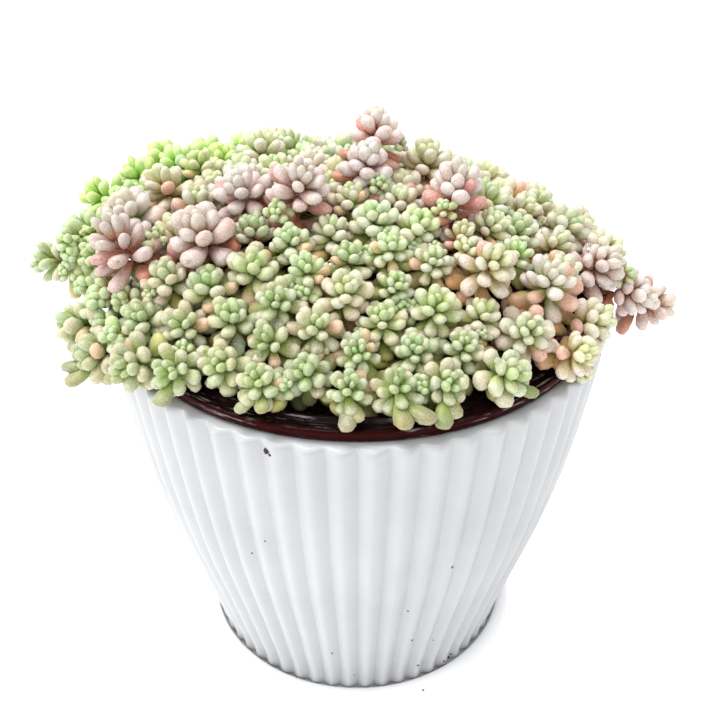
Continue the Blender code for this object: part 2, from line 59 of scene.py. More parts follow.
# Camera. It stands in front of the pot, a little over twice the pot's height, and looks down on the
# mound at 34 degrees. It is turned and rolled by a hair, as a camera held by hand is.
CAMERA_PLACE = Vector((0, -0.2181, 0.2271))
CAMERA_PITCH = math.radians(33.72)
CAMERA_YAW = math.radians(0.15)
CAMERA_ROLL = math.radians(-0.145)
PICTURE_WIDTH = 720
ahead = math.cos(CAMERA_PITCH)
forward = Vector((math.sin(CAMERA_YAW) * ahead, math.cos(CAMERA_YAW) * ahead, -math.sin(CAMERA_PITCH)))
level = Vector((math.cos(CAMERA_YAW), -math.sin(CAMERA_YAW), 0))
down = forward.cross(level)
right = math.cos(CAMERA_ROLL) * level + math.sin(CAMERA_ROLL) * down
down = math.cos(CAMERA_ROLL) * down - math.sin(CAMERA_ROLL) * level
bpy.ops.object.camera_add()
camera = bpy.context.object
camera.name = "camera"
facing = Matrix((right, -down, -forward)).transposed().to_4x4()
camera.matrix_world = Matrix.Translation(CAMERA_PLACE) @ facing
camera.data.sensor_width = 36
camera.data.lens = 50.83
camera.data.clip_start = 0.01
scene.camera = camera


# Studio. A white sheet under the pot, a white surround, and three soft boxes: the brightest stands high
# at the back left, and the others fill in from the left and from above the front.
bpy.ops.mesh.primitive_plane_add(size=5, location=(0, 0, -0.0002))
floor = bpy.context.object
floor.name = "floor"


def fill_in(sockets, values):
    """Sets inputs to their values, or wires them to other nodes' outputs."""
    for name, value in values.items():
        if isinstance(value, bpy.types.NodeSocket):
            value.id_data.links.new(value, sockets[name])
        else:
            sockets[name].default_value = value


def start_material(name):
    """An empty material with a Principled shader. Returns the material, its nodes and that shader."""
    material = bpy.data.materials.new(name)
    material.use_nodes = True
    return material, material.node_tree, material.node_tree.nodes["Principled BSDF"]


paper, _, shader = start_material("white_paper")
fill_in(shader.inputs, {"Base Color": (0.95, 0.95, 0.95, 1), "Roughness": 0.9, "Specular IOR Level": 0.1,
                        "Emission Color": (1, 1, 1, 1), "Emission Strength": 0.34})
floor.data.materials.append(paper)

surround = bpy.data.worlds.new("white_surround")
surround.use_nodes = True
fill_in(surround.node_tree.nodes["Background"].inputs, {"Color": (0.97, 0.985, 1, 1), "Strength": 0.84})
scene.world = surround

POT_MIDDLE = Vector((0, 0, 0.08))
for name, place, size, power in (
    ("back_left_box", (-0.36, 0.24, 1.05), 0.5, 9.0),
    ("left_front_box", (-0.85, -0.40, 0.50), 0.35, 3.0),
    ("front_top_box", (0.12, -0.55, 1.0), 0.6, 2.4),
):
    bpy.ops.object.light_add(type="AREA", location=place)
    box = bpy.context.object
    box.name = name
    box.data.size = size
    box.data.energy = power
    box.rotation_euler = (Vector(place) - POT_MIDDLE).to_track_quat("Z", "Y").to_euler()
scene.view_settings.view_transform = "Standard"


# Saucer. A shallow white plastic dish, moulded in one piece, that stands on the table. The pot's foot
# stands in its well, and its broad rim slopes down and out. A patchy brownish beige in the well is painted
# shade under the pot.
SAUCER_PROFILE = (
    (0, 0), (42.8, 0), (43.7, 0.15), (44.4, 0.5), (44.85, 1.2), (45.0, 2.0), (44.95, 2.7), (44.6, 3.4),
    (44.0, 4.0), (43.3, 4.45), (42.6, 4.7), (42.0, 4.72), (41.6, 4.5), (41.4, 4.0), (41.2, 3.3),
    (40.5, 2.6), (39.8, 2.15), (38.8, 2.0), (30, 2.0), (15, 2.0), (0, 2.0),
)


def add_node(tree, kind, inputs=None, **settings):
    """A node with its settings and its inputs filled in."""
    made = tree.nodes.new(kind)
    for name, value in settings.items():
        setattr(made, name, value)
    fill_in(made.inputs, inputs or {})
    return made


def mix(share, first, second, blend="MIX"):
    """The colour between two others, at that share of the way."""
    tree = next(value.id_data for value in (share, first) if isinstance(value, bpy.types.NodeSocket))
    inputs = {0: share, 6: first, 7: second}
    return add_node(tree, "ShaderNodeMix", inputs, data_type="RGBA", blend_type=blend).outputs[2]


def grade(value, low, high, to_low=0.0, to_high=1.0):
    """A value spread from one range to another, held at both ends."""
    numbers = {"Value": value, "From Min": low, "From Max": high, "To Min": to_low, "To Max": to_high}
    return add_node(value.id_data, "ShaderNodeMapRange", numbers).outputs[0]


def maths(operation, first, second=0.0):
    return add_node(first.id_data, "ShaderNodeMath", {0: first, 1: second}, operation=operation).outputs[0]


def times(first, second):
    return maths("MULTIPLY", first, second)


def plus(first, second):
    return maths("ADD", first, second)


def noise(place, scale, detail=2.0, roughness=0.5):
    inputs = {"Vector": place, "Scale": scale, "Detail": detail, "Roughness": roughness}
    return add_node(place.id_data, "ShaderNodeTexNoise", inputs).outputs["Fac"]


def cells(place, scale):
    """Scattered cells: how far the nearest cell's middle is, and that cell's own random colour."""
    return add_node(place.id_data, "ShaderNodeTexVoronoi", {"Vector": place, "Scale": scale}).outputs


def chances(cell):
    """Three random values that each cell has of its own."""
    return add_node(cell[0].id_data, "ShaderNodeSeparateColor", {0: cell["Color"]}).outputs


def bump(height, distance, strength):
    inputs = {"Height": height, "Distance": distance, "Strength": strength}
    return add_node(height.id_data, "ShaderNodeBump", inputs).outputs["Normal"]


def object_place(tree):
    return add_node(tree, "ShaderNodeTexCoord").outputs["Object"]


def stretch(place, amounts):
    stretched = add_node(place.id_data, "ShaderNodeVectorMath", {0: place, 1: amounts}, operation="MULTIPLY")
    return stretched.outputs[0]


def from_axis(place):
    """How far a point is from the pot's axis."""
    flat = stretch(place, (1, 1, 0))
    return add_node(place.id_data, "ShaderNodeVectorMath", {0: flat}, operation="LENGTH").outputs["Value"]


def start_group(name, inputs):
    """A node group with named inputs, for a surface's colour, roughness and height. Returns the group,
    its inputs as they are given to it, and those three outputs as it makes them."""
    group = bpy.data.node_groups.new(name, "ShaderNodeTree")
    for label, value in inputs.items():
        kind = "NodeSocketColor" if isinstance(value, tuple) else "NodeSocketFloat"
        group.interface.new_socket(label, in_out="INPUT", socket_type=kind).default_value = value
    for label in ("Colour", "Roughness", "Height"):
        kind = "NodeSocketColor" if label == "Colour" else "NodeSocketFloat"
        group.interface.new_socket(label, in_out="OUTPUT", socket_type=kind)
    return group, group.nodes.new("NodeGroupInput").outputs, group.nodes.new("NodeGroupOutput").inputs


def lay_surface(shader, group, inputs, depth, strength):
    """Gives a shader the surface that a group makes of those inputs. Returns the group's outputs."""
    surface = add_node(shader.id_data, "ShaderNodeGroup", inputs, node_tree=group).outputs
    fill_in(shader.inputs, {"Base Color": surface["Colour"], "Roughness": surface["Roughness"],
                            "Normal": bump(surface["Height"], depth, strength)})
    return surface


# Moulded white plastic, for the saucer and the pot: the faint pebbling and fine turning lines that the
# mould leaves, cloudy wear, and specks of dust and soil.
plastic, given, made = start_group("moulded_plastic", {
    "Colour": (0.8, 0.8, 0.8, 1), "Shade": (0.7, 0.7, 0.7, 1), "Roughness": 0.35,
    "Speck Share": 0.1, "Line Depth": 0.3,
})
place = object_place(plastic)
cloud = grade(noise(place, 38, 4, 0.6), 0.38, 0.68)
cell = cells(place, 95)
chance = chances(cell)
speck = times(maths("LESS_THAN", cell["Distance"], grade(chance[1], 0, 1, 0.012, 0.038)),
              maths("LESS_THAN", chance[0], given["Speck Share"]))
smear = grade(noise(place, 160, 6, 0.7), 0.56, 0.75, 0, 0.10)
height = add_node(plastic, "ShaderNodeSeparateXYZ", {0: place}).outputs[2]
lines = times(maths("SINE", times(height, 16000)), given["Line Depth"])
pebbles = plus(noise(place, 1300, 3), times(noise(place, 240, 2), 1.2))
fill_in(made, {
    "Colour": mix(times(speck, 0.62), mix(cloud, given["Colour"], given["Shade"]), (0.10, 0.075, 0.06, 1)),
    "Roughness": plus(given["Roughness"], plus(smear, times(speck, 0.4))),
    "Height": plus(plus(pebbles, lines), times(speck, 3)),
})

saucer_plastic, tree, shader = start_material("saucer_plastic")
surface = lay_surface(shader, plastic, {
    "Colour": (0.97, 0.973, 0.98, 1), "Shade": (0.93, 0.934, 0.942, 1), "Roughness": 0.24,
    "Speck Share": 0.05, "Line Depth": 0.0,
}, 0.00003, 0.5)
place = object_place(tree)
# Painted shade: a patchy brownish beige in the well, inside about 40.5 mm from the axis, where the pot
# shades it.
ragged = plus(from_axis(place), grade(noise(place, 220, 5, 0.65), 0.3, 0.7, -0.0012, 0.0012))
well_shade = times(grade(ragged, 0.0402, 0.0411, 1, 0), grade(noise(place, 60, 3), 0.45, 0.65, 0.0, 0.7))
fill_in(shader.inputs, {
    "Base Color": mix(well_shade, surface["Colour"], (0.55, 0.47, 0.35, 1)),
    "Roughness": plus(surface["Roughness"], times(well_shade, 0.25)),
    "Subsurface Weight": 0.4, "Subsurface Radius": (1, 1, 1), "Subsurface Scale": 0.003,
})


def pick(piece, test):
    """Selects, in edit mode, the vertices whose place passes a test."""
    bpy.ops.mesh.select_all(action="DESELECT")
    shape = bmesh.from_edit_mesh(piece.data)
    for vert in shape.verts:
        vert.select_set(test(vert.co))
    shape.select_flush_mode()
    bmesh.update_edit_mesh(piece.data)


def close_up(angle):
    """Merges doubles and points the faces outwards in edit mode, then smooths all but sharper edges."""
    bpy.ops.mesh.select_all(action="SELECT")
    bpy.ops.mesh.remove_doubles(threshold=0.000002)
    bpy.ops.mesh.normals_make_consistent(inside=False)
    bpy.ops.object.mode_set(mode="OBJECT")
    bpy.ops.object.shade_smooth_by_angle(angle=math.radians(angle))


# Least radius of a turned piece, in mm, so that its middle isn't pinched before it is merged
TIP = 0.01


def turn(name, sides, profile, angle):
    """A solid turned about the pot's axis: a small disc whose edge is drawn out through the profile's
    points of radius and height in millimetres, to the middle again."""
    (_, low), *rest = profile
    bpy.ops.mesh.primitive_circle_add(
        vertices=sides, radius=TIP * MM, fill_type="TRIFAN", enter_editmode=True)
    piece = bpy.context.object
    piece.name = piece.data.name = name
    bpy.ops.mesh.select_all(action="SELECT")
    bpy.ops.transform.translate(value=(0, 0, low * MM))
    bpy.ops.mesh.select_mode(type="EDGE")
    bpy.ops.mesh.region_to_loop()
    radius = TIP
    for reach, height in rest:
        reach = max(reach, TIP)
        bpy.ops.mesh.extrude_edges_move()
        bpy.ops.transform.translate(value=(0, 0, (height - low) * MM))
        wider = reach / radius
        bpy.ops.transform.resize(value=(wider, wider, 1), center_override=(0, 0, height * MM))
        radius, low = reach, height
    bpy.ops.mesh.merge(type="CENTER")
    bpy.ops.mesh.select_mode(type="VERT")
    close_up(angle)
    return piece


saucer = turn("saucer_dish", 160, SAUCER_PROFILE, 35)
saucer.data.materials.append(saucer_plastic)
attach(saucer, "root")
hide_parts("saucer")


# Cover pot. White plastic, moulded in one piece: a flat ring at the top, then 56 round ribs that narrow
# all the way down and end in round tips over a plain foot. It stands loose in the saucer.
RIBS = 56
COLUMNS = 10
# Radius of the ribs' crests, height, and how deep the grooves between them are
POT_OUTSIDE = (
    (37.9, 2.3, 0), (38.2, 2.9, 0), (39.1, 3.1, 0.4), (40.3, 3.3, 0.8), (40.95, 3.75, 1.0),
    (41.1, 4.4, 1.15), (41.15, 5.4, 1.3), (41.7, 8.5, 1.6), (43.2, 14, 1.5), (45.35, 22, 1.5),
    (47.8, 31, 1.5), (50.2, 39.5, 1.5), (52.5, 48, 1.5), (54.1, 55, 1.5), (55.9, 64, 1.5),
    (57.6, 74, 1.5), (59.1, 85, 1.5), (60.0, 92, 1.55), (60.45, 96, 1.65), (60.6, 97.5, 1.65),
    (60.62, 98.2, 1.6), (60.5, 98.75, 1.5), (60.2, 99.15, 1.35), (59.75, 99.4, 1.05), (59.2, 99.5, 0.7),
)
POT_INSIDE = (
    (55.3, 99.5), (55.0, 99.3), (54.9, 98.5), (53.9, 74), (48.5, 45), (41.8, 22), (37.2, 6.6), (36.4, 5.6),
    (35.4, 5.3), (TIP, 5.3),
)


def reshape(piece, kind, **settings):
    """Gives a piece a modifier and applies it."""
    modifier = piece.modifiers.new(kind, kind)
    for name, value in settings.items():
        setattr(modifier, name, value)
    bpy.context.view_layer.objects.active = piece
    bpy.ops.object.modifier_apply(modifier=kind)


DRAIN_RADIUS = 1.75 * MM
DRAIN_CIRCLE = 22 * MM


def drain(piece, low, high):
    """Cuts the three small drain holes through a pot's floor."""
    for bearing in map(math.radians, (90, 210, 330)):
        middle = (DRAIN_CIRCLE * math.cos(bearing), DRAIN_CIRCLE * math.sin(bearing), (low + high) * MM / 2)
        bpy.ops.mesh.primitive_cylinder_add(
            vertices=24, radius=DRAIN_RADIUS, depth=(high - low) * MM, location=middle)
        drill = bpy.context.object
        reshape(piece, "BOOLEAN", object=drill)
        bpy.data.objects.remove(drill, do_unlink=True)


bpy.ops.mesh.primitive_plane_add(size=0.01, enter_editmode=True)
pot = bpy.context.object
pot.name = pot.data.name = "ribbed_pot"
pick(pot, lambda co: co.x < 0 or co.y < 0)
bpy.ops.mesh.delete(type="VERT")
pick(pot, lambda co: True)
outline = [(TIP, 2.3)] + [(radius, height) for radius, height, _ in POT_OUTSIDE] + list(POT_INSIDE)
# The first corner of the plane, which is all that is left of it, in mm
at = Vector((5, 5, 0))
for count, (radius, height) in enumerate(outline):
    to = Vector((radius, 0, height))
    if count:
        bpy.ops.mesh.extrude_region_move()
    bpy.ops.transform.translate(value=(to - at) * MM)
    at = to
bpy.ops.mesh.select_all(action="SELECT")
rib_angle = math.tau / RIBS
bpy.ops.mesh.spin(steps=COLUMNS, angle=rib_angle, center=(0, 0, 0), axis=(0, 0, 1))


def column_of(co):
    """How many columns a point stands from the nearer groove."""
    column = round(abs(math.atan2(co.y, co.x)) / rib_angle * COLUMNS)
    return min(column, COLUMNS - column)


for radius, height, depth in POT_OUTSIDE:
    for column in range(COLUMNS // 2):
        off_crest = 1 - 2 * column / COLUMNS
        bulge = 0.45 * (1 - off_crest**2) + 0.55 * (0.5 + 0.5 * math.cos(math.pi * off_crest))
        narrower = 1 - depth * (1 - bulge) / radius
        ring = lambda co: abs(co.z - height * MM) < 1e-6 and abs(math.hypot(co.x, co.y) - radius * MM) < 1e-5
        pick(pot, lambda co: ring(co) and column_of(co) == column)
        bpy.ops.transform.resize(value=(narrower, narrower, 1), center_override=(0, 0, height * MM))
bpy.ops.mesh.select_all(action="SELECT")
bpy.ops.mesh.spin(steps=RIBS - 1, dupli=True, angle=rib_angle * (RIBS - 1), center=(0, 0, 0), axis=(0, 0, 1))
bpy.ops.mesh.select_all(action="SELECT")
bpy.ops.mesh.remove_doubles(threshold=0.00002)
close_up(50)
drain(pot, 1, 7)

pot_plastic, tree, shader = start_material("ribbed_pot_plastic")
lay_surface(shader, plastic, {
    "Colour": (0.505, 0.51, 0.52, 1), "Shade": (0.46, 0.465, 0.475, 1), "Roughness": 0.34,
    "Speck Share": 0.10, "Line Depth": 0.35,
}, 0.00004, 0.6)
pot.data.materials.append(pot_plastic)
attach(pot, "root")
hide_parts("cover_pot")


# Nursery pot. The thin dark red-brown pot that the plant was sold in, blown from glossy plastic. It
# hangs in the cover pot by its broad lip, which is wet from watering and ends in a fine bead inside.
NURSERY_PROFILE = (
    (0, 12), (35.6, 12), (36.3, 12.2), (36.6, 12.8), (45.0, 56), (53.2, 99.0), (53.6, 99.8), (56.7, 99.8),
    (57.15, 99.95), (57.38, 100.4), (57.45, 101.2), (57.4, 101.9), (57.2, 102.3), (56.8, 102.45),
    (56.1, 102.42), (55.4, 102.4), (54.7, 102.42), (54.3, 102.55), (54.0, 102.85), (53.7, 103.05),
    (53.35, 103.1), (53.0, 103.0), (52.75, 102.75), (52.6, 102.3), (52.35, 101.2), (52.15, 99.4),
    (35.9, 15.2), (35.2, 13.9), (34.5, 13.4), (0, 13.4),
)
nursery = turn("nursery_pot_shell", 144, NURSERY_PROFILE, 38)
drain(nursery, 11, 15)

nursery_plastic, tree, shader = start_material("nursery_pot_plastic")
place = object_place(tree)
across = from_axis(place)
x, y, z = add_node(tree, "ShaderNodeSeparateXYZ", {0: place}).outputs
around = {0: times(maths("ARCTAN2", y, x), 0.055), 1: times(across, 11), 2: times(z, 11)}
streaks = noise(add_node(tree, "ShaderNodeCombineXYZ", around).outputs[0], 90, 5, 0.62)
film = grade(noise(place, 130, 4, 0.6), 0.42, 0.6)
body = mix(grade(across, 0.0566, 0.0574), (0.006, 0.0015, 0.002, 1), (0.024, 0.0010, 0.0010, 1))
# Pale grey streaks that run round the lip: partly scale that the water has left, partly painted highlights
# along the lip's bead and edges.
scale_and_highlight_streaks = times(grade(streaks, 0.57, 0.63), grade(film, 0, 1, 0.03, 0.50))
wet = times(grade(cells(place, 700)["Distance"], 0.0, 0.45, 1, 0), grade(noise(place, 90, 2), 0.5, 0.62))
fill_in(shader.inputs, {
    "Base Color": mix(scale_and_highlight_streaks, body, (0.42, 0.39, 0.39, 1)),
    "Roughness": grade(plus(film, streaks), 0.4, 1.6, 0.07, 0.34),
    "Normal": bump(plus(times(streaks, 1.4), wet), 0.00010, 0.7),
    "Coat Weight": grade(plus(film, grade(streaks, 0.5, 0.62)), 1.22, 1.62, 0.0, 0.75),
    "Coat Roughness": 0.06, "Specular IOR Level": 0.05,
})
nursery.data.materials.append(nursery_plastic)
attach(nursery, "root")
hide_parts("nursery_pot")


# Soil. Damp dark potting soil that fills the nursery pot to 9 mm below its rim, with crumbs of bark and
# a few pale grains on top. The stems stand in it.
SOIL_TOP = 90.5
soil_profile = [(0, 13.8), (33.8, 13.8), (34.6, 14.6), (49.6, 89.6)]
soil_profile += [(49.6, SOIL_TOP)] + [(radius, SOIL_TOP) for radius in range(48, -1, -3)]
soil = turn("potting_soil", 96, soil_profile, 60)
bpy.ops.object.mode_set(mode="EDIT")
pick(soil, lambda co: co.z > (SOIL_TOP - 0.1) * MM and co.xy.length < 49 * MM)
bpy.ops.mesh.subdivide(number_cuts=1)
bpy.ops.object.mode_set(mode="OBJECT")
soil.vertex_groups.new(name="top")
soil.vertex_groups["top"].add([vert.index for vert in soil.data.vertices if vert.select], 1.0, "REPLACE")
clods = bpy.data.textures.new("clods", "CLOUDS")
clods.noise_scale = 0.006
clods.noise_depth = 4
reshape(soil, "DISPLACE", texture=clods, texture_coords="LOCAL", direction="Z", mid_level=0.5,
        strength=0.0055, vertex_group="top")

bpy.ops.mesh.primitive_ico_sphere_add(subdivisions=2, radius=1)
crumb = bpy.context.object
crumb.name = "crumb"
lumps = bpy.data.textures.new("lumps", "VORONOI")
lumps.noise_scale = 0.9
reshape(crumb, "DISPLACE", texture=lumps, strength=0.7)
bpy.ops.object.shade_smooth()


def copy_of(template, pose):
    """A copy of a template, with its own mesh, that a matrix moves and shapes."""
    copy = bpy.data.objects.new(template.name, template.data.copy())
    copy.data.transform(pose)
    scene.collection.objects.link(copy)
    return copy


CRUMB_SEED = 41
CRUMB_COUNT = 240
CRUMB_CIRCLE = 48 * MM
draw = random.Random(CRUMB_SEED)
crumbs = [soil]
for _ in range(CRUMB_COUNT):
    reach = CRUMB_CIRCLE * math.sqrt(draw.random())
    bearing = draw.uniform(0, math.tau)
    size = draw.uniform(0.4, 1.5) * MM
    shape = Matrix.Diagonal((size * draw.uniform(0.7, 1.6), size, size * draw.uniform(0.5, 0.9), 1))
    turned = draw.uniform(0, math.tau)
    spin = Matrix.Rotation(turned, 4, Vector((draw.uniform(-0.4, 0.4), draw.uniform(-0.4, 0.4), 1)))
    height = (SOIL_TOP + draw.uniform(-0.4, 1.2)) * MM
    spot = Vector((reach * math.cos(bearing), reach * math.sin(bearing), height))
    crumbs.append(copy_of(crumb, Matrix.Translation(spot) @ spin @ shape))


def choose(parts):
    """Selects these objects alone, with the first one as the active one."""
    bpy.ops.object.select_all(action="DESELECT")
    for part in parts:
        part.select_set(True)
    bpy.context.view_layer.objects.active = parts[0]


def fuse(parts):
    """Joins objects into the first one."""
    choose(parts)
    bpy.ops.object.join()
    return parts[0]


fuse(crumbs)
potting_mix, tree, shader = start_material("potting_mix")
place = object_place(tree)
grit = noise(place, 420, 6, 0.7)
tone = mix(grade(grit, 0.35, 0.7), (0.014, 0.008, 0.005, 1), (0.085, 0.050, 0.026, 1))
pale = maths("LESS_THAN", chances(cells(place, 380))[0], 0.05)
fill_in(shader.inputs, {
    "Base Color": mix(times(pale, 0.6), tone, (0.26, 0.21, 0.15, 1)),
    "Roughness": grade(noise(place, 150, 3), 0.35, 0.65, 0.35, 0.9),
    "Normal": bump(grit, 0.0008, 0.9),
})
soil.data.materials.append(potting_mix)
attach(soil, "root")
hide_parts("soil")


# Sedum, its growth. One plant of many shoots fills the pot and hangs over its lip. Its heads crowd each
# other in a mound that is highest in the middle and at the back left, and one stem carries up to four.
GAP = 0.3 * MM
RIM_HEIGHT = 99.5 * MM
SOIL_HEIGHT = RIM_HEIGHT - 9.0 * MM
LIP_TOP = RIM_HEIGHT + 3.6 * MM
LIP_RADIUS = 57.4 * MM
REACH_LEFT = 73.0 * MM
REACH_RIGHT = 67.0 * MM
REACH_FRONT = 50.5 * MM
REACH_BACK = 59.0 * MM
CROWN_RISE = 28.0 * MM
EDGE_RISE_LOW = 4.5 * MM
EDGE_RISE_HIGH = 19.0 * MM
HIGH_SIDE = math.radians(140)
DOME_POWER = 2.2
LIP_CLEARANCE = 5.2 * MM
HEAD_COUNT = 130
HEAD_SPACING = 10.6 * MM
HEAD_GAP = 0.4 * MM
CELL_SEARCH = 30.0 * MM
RIM_POINTS = ((53.0, 3.6), (54.5, 2.9), (56.0, 2.9), (57.4, 2.9), (60.6, 0.0))
RIM_INNER = 51.8 * MM
RIM_OUTER = 61.2 * MM
LAYOUT_SEED = 53
LAYOUT_ROUNDS = 150
SUNFLOWER_FILL = 0.985
LIFT_DRAW = (-1.2 * MM, 1.8 * MM)
STEM_COUNT = 50
STEM_DEPTH = 7.0 * MM
STEM_CIRCLE = 42.0 * MM
FORK_LENGTH = 2.6 * MM
FORK_DROP = 6.0 * MM
FORK_INSIDE = 47.0 * MM
FORK_OVER_LIP = 50.0 * MM
LIP_TO_FORK = 3.4 * MM
LIP_BEND = 46.5 * MM
BEND_DROP = 2.0 * MM
TURN_AWAY = 0.7
MOST_HEADS = 4
STEM_ROUNDS = 12
STEM_SHIFT = 0.7
HEAD_DEPTH = {2: 1.1, 3: 1.5}
HEAD_FOOT = {2: -0.66, 3: -0.96}
LEAF_DROOP = 24
OUTWARD_LEAN = 6.0
# Where each colour grows: lime past that share of the way out, between two bearings, blushed heads to the
# right of one line, and mint heads in front of the other
LIME_SHARE = 0.7
LIME_SIDES = (math.radians(118), math.radians(180))
BLUSH_LINE = 22 * MM
MINT_LINE = -12 * MM
# The heads that stand out of the mound: x, y and lift above the mound in mm, reach of the leaves in
# mm, colour, and rows of leaves
TALL_HEADS = (
    (4, 12, 12, 6.6, "mauve", 3), (2, 0, 8, 7.2, "mauve", 3), (-13, -9, 7, 8.6, "mauve", 3),
    (22, -7, 7, 8.6, "mauve", 3), (17, 15, 4, 6.6, "blush", 2), (-52, -17, 7, 8.6, "mauve", 3),
    (-53, -3, 4, 6.4, "mauve", 2), (-34, -18, 5, 7.0, "mauve", 2), (-26, -5, 5, 6.4, "mauve", 2),
    (-46, 8, 3, 6.2, "blush", 2), (28, -27, 6, 8.4, "blush", 3), (42, -24, 4, 6.8, "mauve", 2),
    (56, -9, 3, 6.8, "mauve", 3), (66, -7, 1, 6.4, "mauve", 3), (73, -1, 0, 6.0, "mauve", 2),
    (36, -36, 3, 6.2, "blush", 2), (50, 4, 2, 6.2, "blush", 2), (-25, 29, 2, 6.2, "blush", 2),
    (-63, -21, -5.0, 5.8, "mint", 2), (-57, -30, -4.5, 5.6, "mint", 2),
)


def mound_reach(angle):
    """How far from the axis the outermost heads stand, an ellipse with its own half for each side."""
    across = REACH_RIGHT if math.cos(angle) > 0 else REACH_LEFT
    depth = REACH_BACK if math.sin(angle) > 0 else REACH_FRONT
    return 1 / math.hypot(math.cos(angle) / across, math.sin(angle) / depth)


def mound_edge(angle):
    """Rise of the mound's edge above the rim, highest at the back left."""
    return EDGE_RISE_LOW + (EDGE_RISE_HIGH - EDGE_RISE_LOW) * max(0.0, math.cos(angle - HIGH_SIDE)) ** 2


def mound_rise(x, y):
    """Rise of the mound of heads above the rim."""
    angle = math.atan2(y, x)
    share = math.hypot(x, y) / mound_reach(angle)
    return CROWN_RISE - (CROWN_RISE - mound_edge(angle)) * share**DOME_POWER


def mound_normal(x, y):
    step = 0.5 * MM
    slope_x = (mound_rise(x + step, y) - mound_rise(x - step, y)) / (2 * step)
    slope_y = (mound_rise(x, y + step) - mound_rise(x, y - step)) / (2 * step)
    return Vector((-slope_x, -slope_y, 1)).normalized()


def rise_over_rim(radius, clearance):
    """Least rise of a head's middle that clears the two pots' rims."""
    least = -RIM_HEIGHT
    for edge, top in RIM_POINTS:
        across = abs(radius - edge * MM)
        if across < clearance:
            least = max(least, top * MM + math.sqrt(clearance**2 - across**2))
    return least


def head_place(x, y, lift):
    rise = max(mound_rise(x, y) + lift, rise_over_rim(math.hypot(x, y), LIP_CLEARANCE))
    return Vector((x, y, RIM_HEIGHT + rise))


def sunflower(count, draw, scatter):
    """Even points over the mound's outline, on a sunflower's spiral, each moved a little."""
    points = []
    for i in range(count):
        share = math.sqrt((i + 0.5) / count) * SUNFLOWER_FILL
        angle = i * math.pi * (3 - math.sqrt(5))
        radius = share * mound_reach(angle)
        x = radius * math.cos(angle) + draw.uniform(-scatter, scatter)
        y = radius * math.sin(angle) + draw.uniform(-scatter, scatter)
        points.append((x, y))
    return points


def nearest(point, others):
    return min(range(len(others)), key=lambda i: math.dist(point, others[i]))


def lay_out_heads():
    """Middle, leaf reach, colour and rows of every head. The tall ones stay, the rest spread apart."""
    draw = random.Random(LAYOUT_SEED)
    heads = []
    for x, y, lift, reach, colour, rows in TALL_HEADS:
        place = head_place(x * MM, y * MM, lift * MM)
        heads.append({"place": place, "reach": reach * MM, "colour": colour, "rows": rows})
    spots = sunflower(HEAD_COUNT, draw, 1.2 * MM)
    for head in heads:
        spots.pop(nearest(head["place"].xy, spots))
    lifts = [draw.uniform(*LIFT_DRAW) for _ in spots]
    for (x, y), lift in zip(spots, lifts):
        place = head_place(x, y, lift)
        heads.append({"place": place, "reach": HEAD_SPACING / 2, "colour": None, "rows": 2})
    fixed = len(TALL_HEADS)
    for _ in range(LAYOUT_ROUNDS):
        moves = spread(heads)
        for head, move, lift in zip(heads[fixed:], moves[fixed:], lifts):
            spot = head["place"].xy + 0.5 * move
            limit = mound_reach(math.atan2(spot.y, spot.x))
            if spot.length > limit:
                spot *= limit / spot.length
            head["place"] = head_place(spot.x, spot.y, lift)
    share_room(heads)
    for head in heads:
        lean_head(head, draw)
    return heads


def spread(heads):
    """The sideways push on each head from those that it crowds."""
    moves = [Vector((0, 0)) for _ in heads]
    for i, head in enumerate(heads):
        for j in range(i + 1, len(heads)):
            between = head["place"] - heads[j]["place"]
            wanted = head["reach"] + heads[j]["reach"]
            if between.length < wanted:
                push = between.xy * (0.5 * (wanted - between.length) / between.length)
                moves[i] += push
                moves[j] -= push
    return moves


def share_room(heads):
    """Gives each head its cell: flat walls that share out the way to each of its neighbours."""
    for head in heads:
        head["walls"] = []
        for other in heads:
            between = other["place"] - head["place"]
            if other is not head and between.length < CELL_SEARCH:
                share = head["reach"] / (head["reach"] + other["reach"])
                head["walls"].append((between.normalized(), between.length * share - HEAD_GAP / 2))
    for head in heads:
        head["reach"] = min([head["reach"]] + [room for _, room in head["walls"]])


def keep_in_cell(point, head, spare):
    """Draws a point towards the head's middle until it is no more than so far outside the head's cell."""
    offset = point - head["place"]
    share = 1.0
    for direction, room in head["walls"]:
        across = offset.dot(direction)
        if across > room + spare:
            share = min(share, (room + spare) / across)
    return head["place"] + offset * share


def lean_head(head, draw):
    """Turns a head out from the mound, more so past the rim, and lets its outer leaves droop."""
    x, y = head["place"].xy
    lean = Vector((draw.uniform(-0.18, 0.18), draw.uniform(-0.18, 0.18), 0.25))
    over = max(0.0, math.hypot(x, y) - RIM_INNER) / RIM_INNER
    outward = Vector((x, y, 0)).normalized() * OUTWARD_LEAN * over
    head["axis"] = (mound_normal(x, y) + lean + outward).normalized()
    share = math.hypot(x, y) / mound_reach(math.atan2(y, x))
    head["droop"] = LEAF_DROOP * max(0.0, share - 0.6) / 0.4
    chance = draw.random()
    if head["colour"] is None:
        head["colour"] = colour_of_place(x, y, share, chance)


def colour_of_place(x, y, share, chance):
    """Lime at the back left edge, mostly blushed at the right and the back, mint at the front."""
    if share > LIME_SHARE and LIME_SIDES[0] < math.atan2(y, x) < LIME_SIDES[1]:
        return "lime"
    if x > BLUSH_LINE:
        return "blush" if chance < 0.6 else "mint"
    if y < MINT_LINE:
        return "blush" if chance < 0.2 else "mint"
    if chance < 0.15:
        return "mauve"
    return "blush" if chance < 0.5 else "mint"


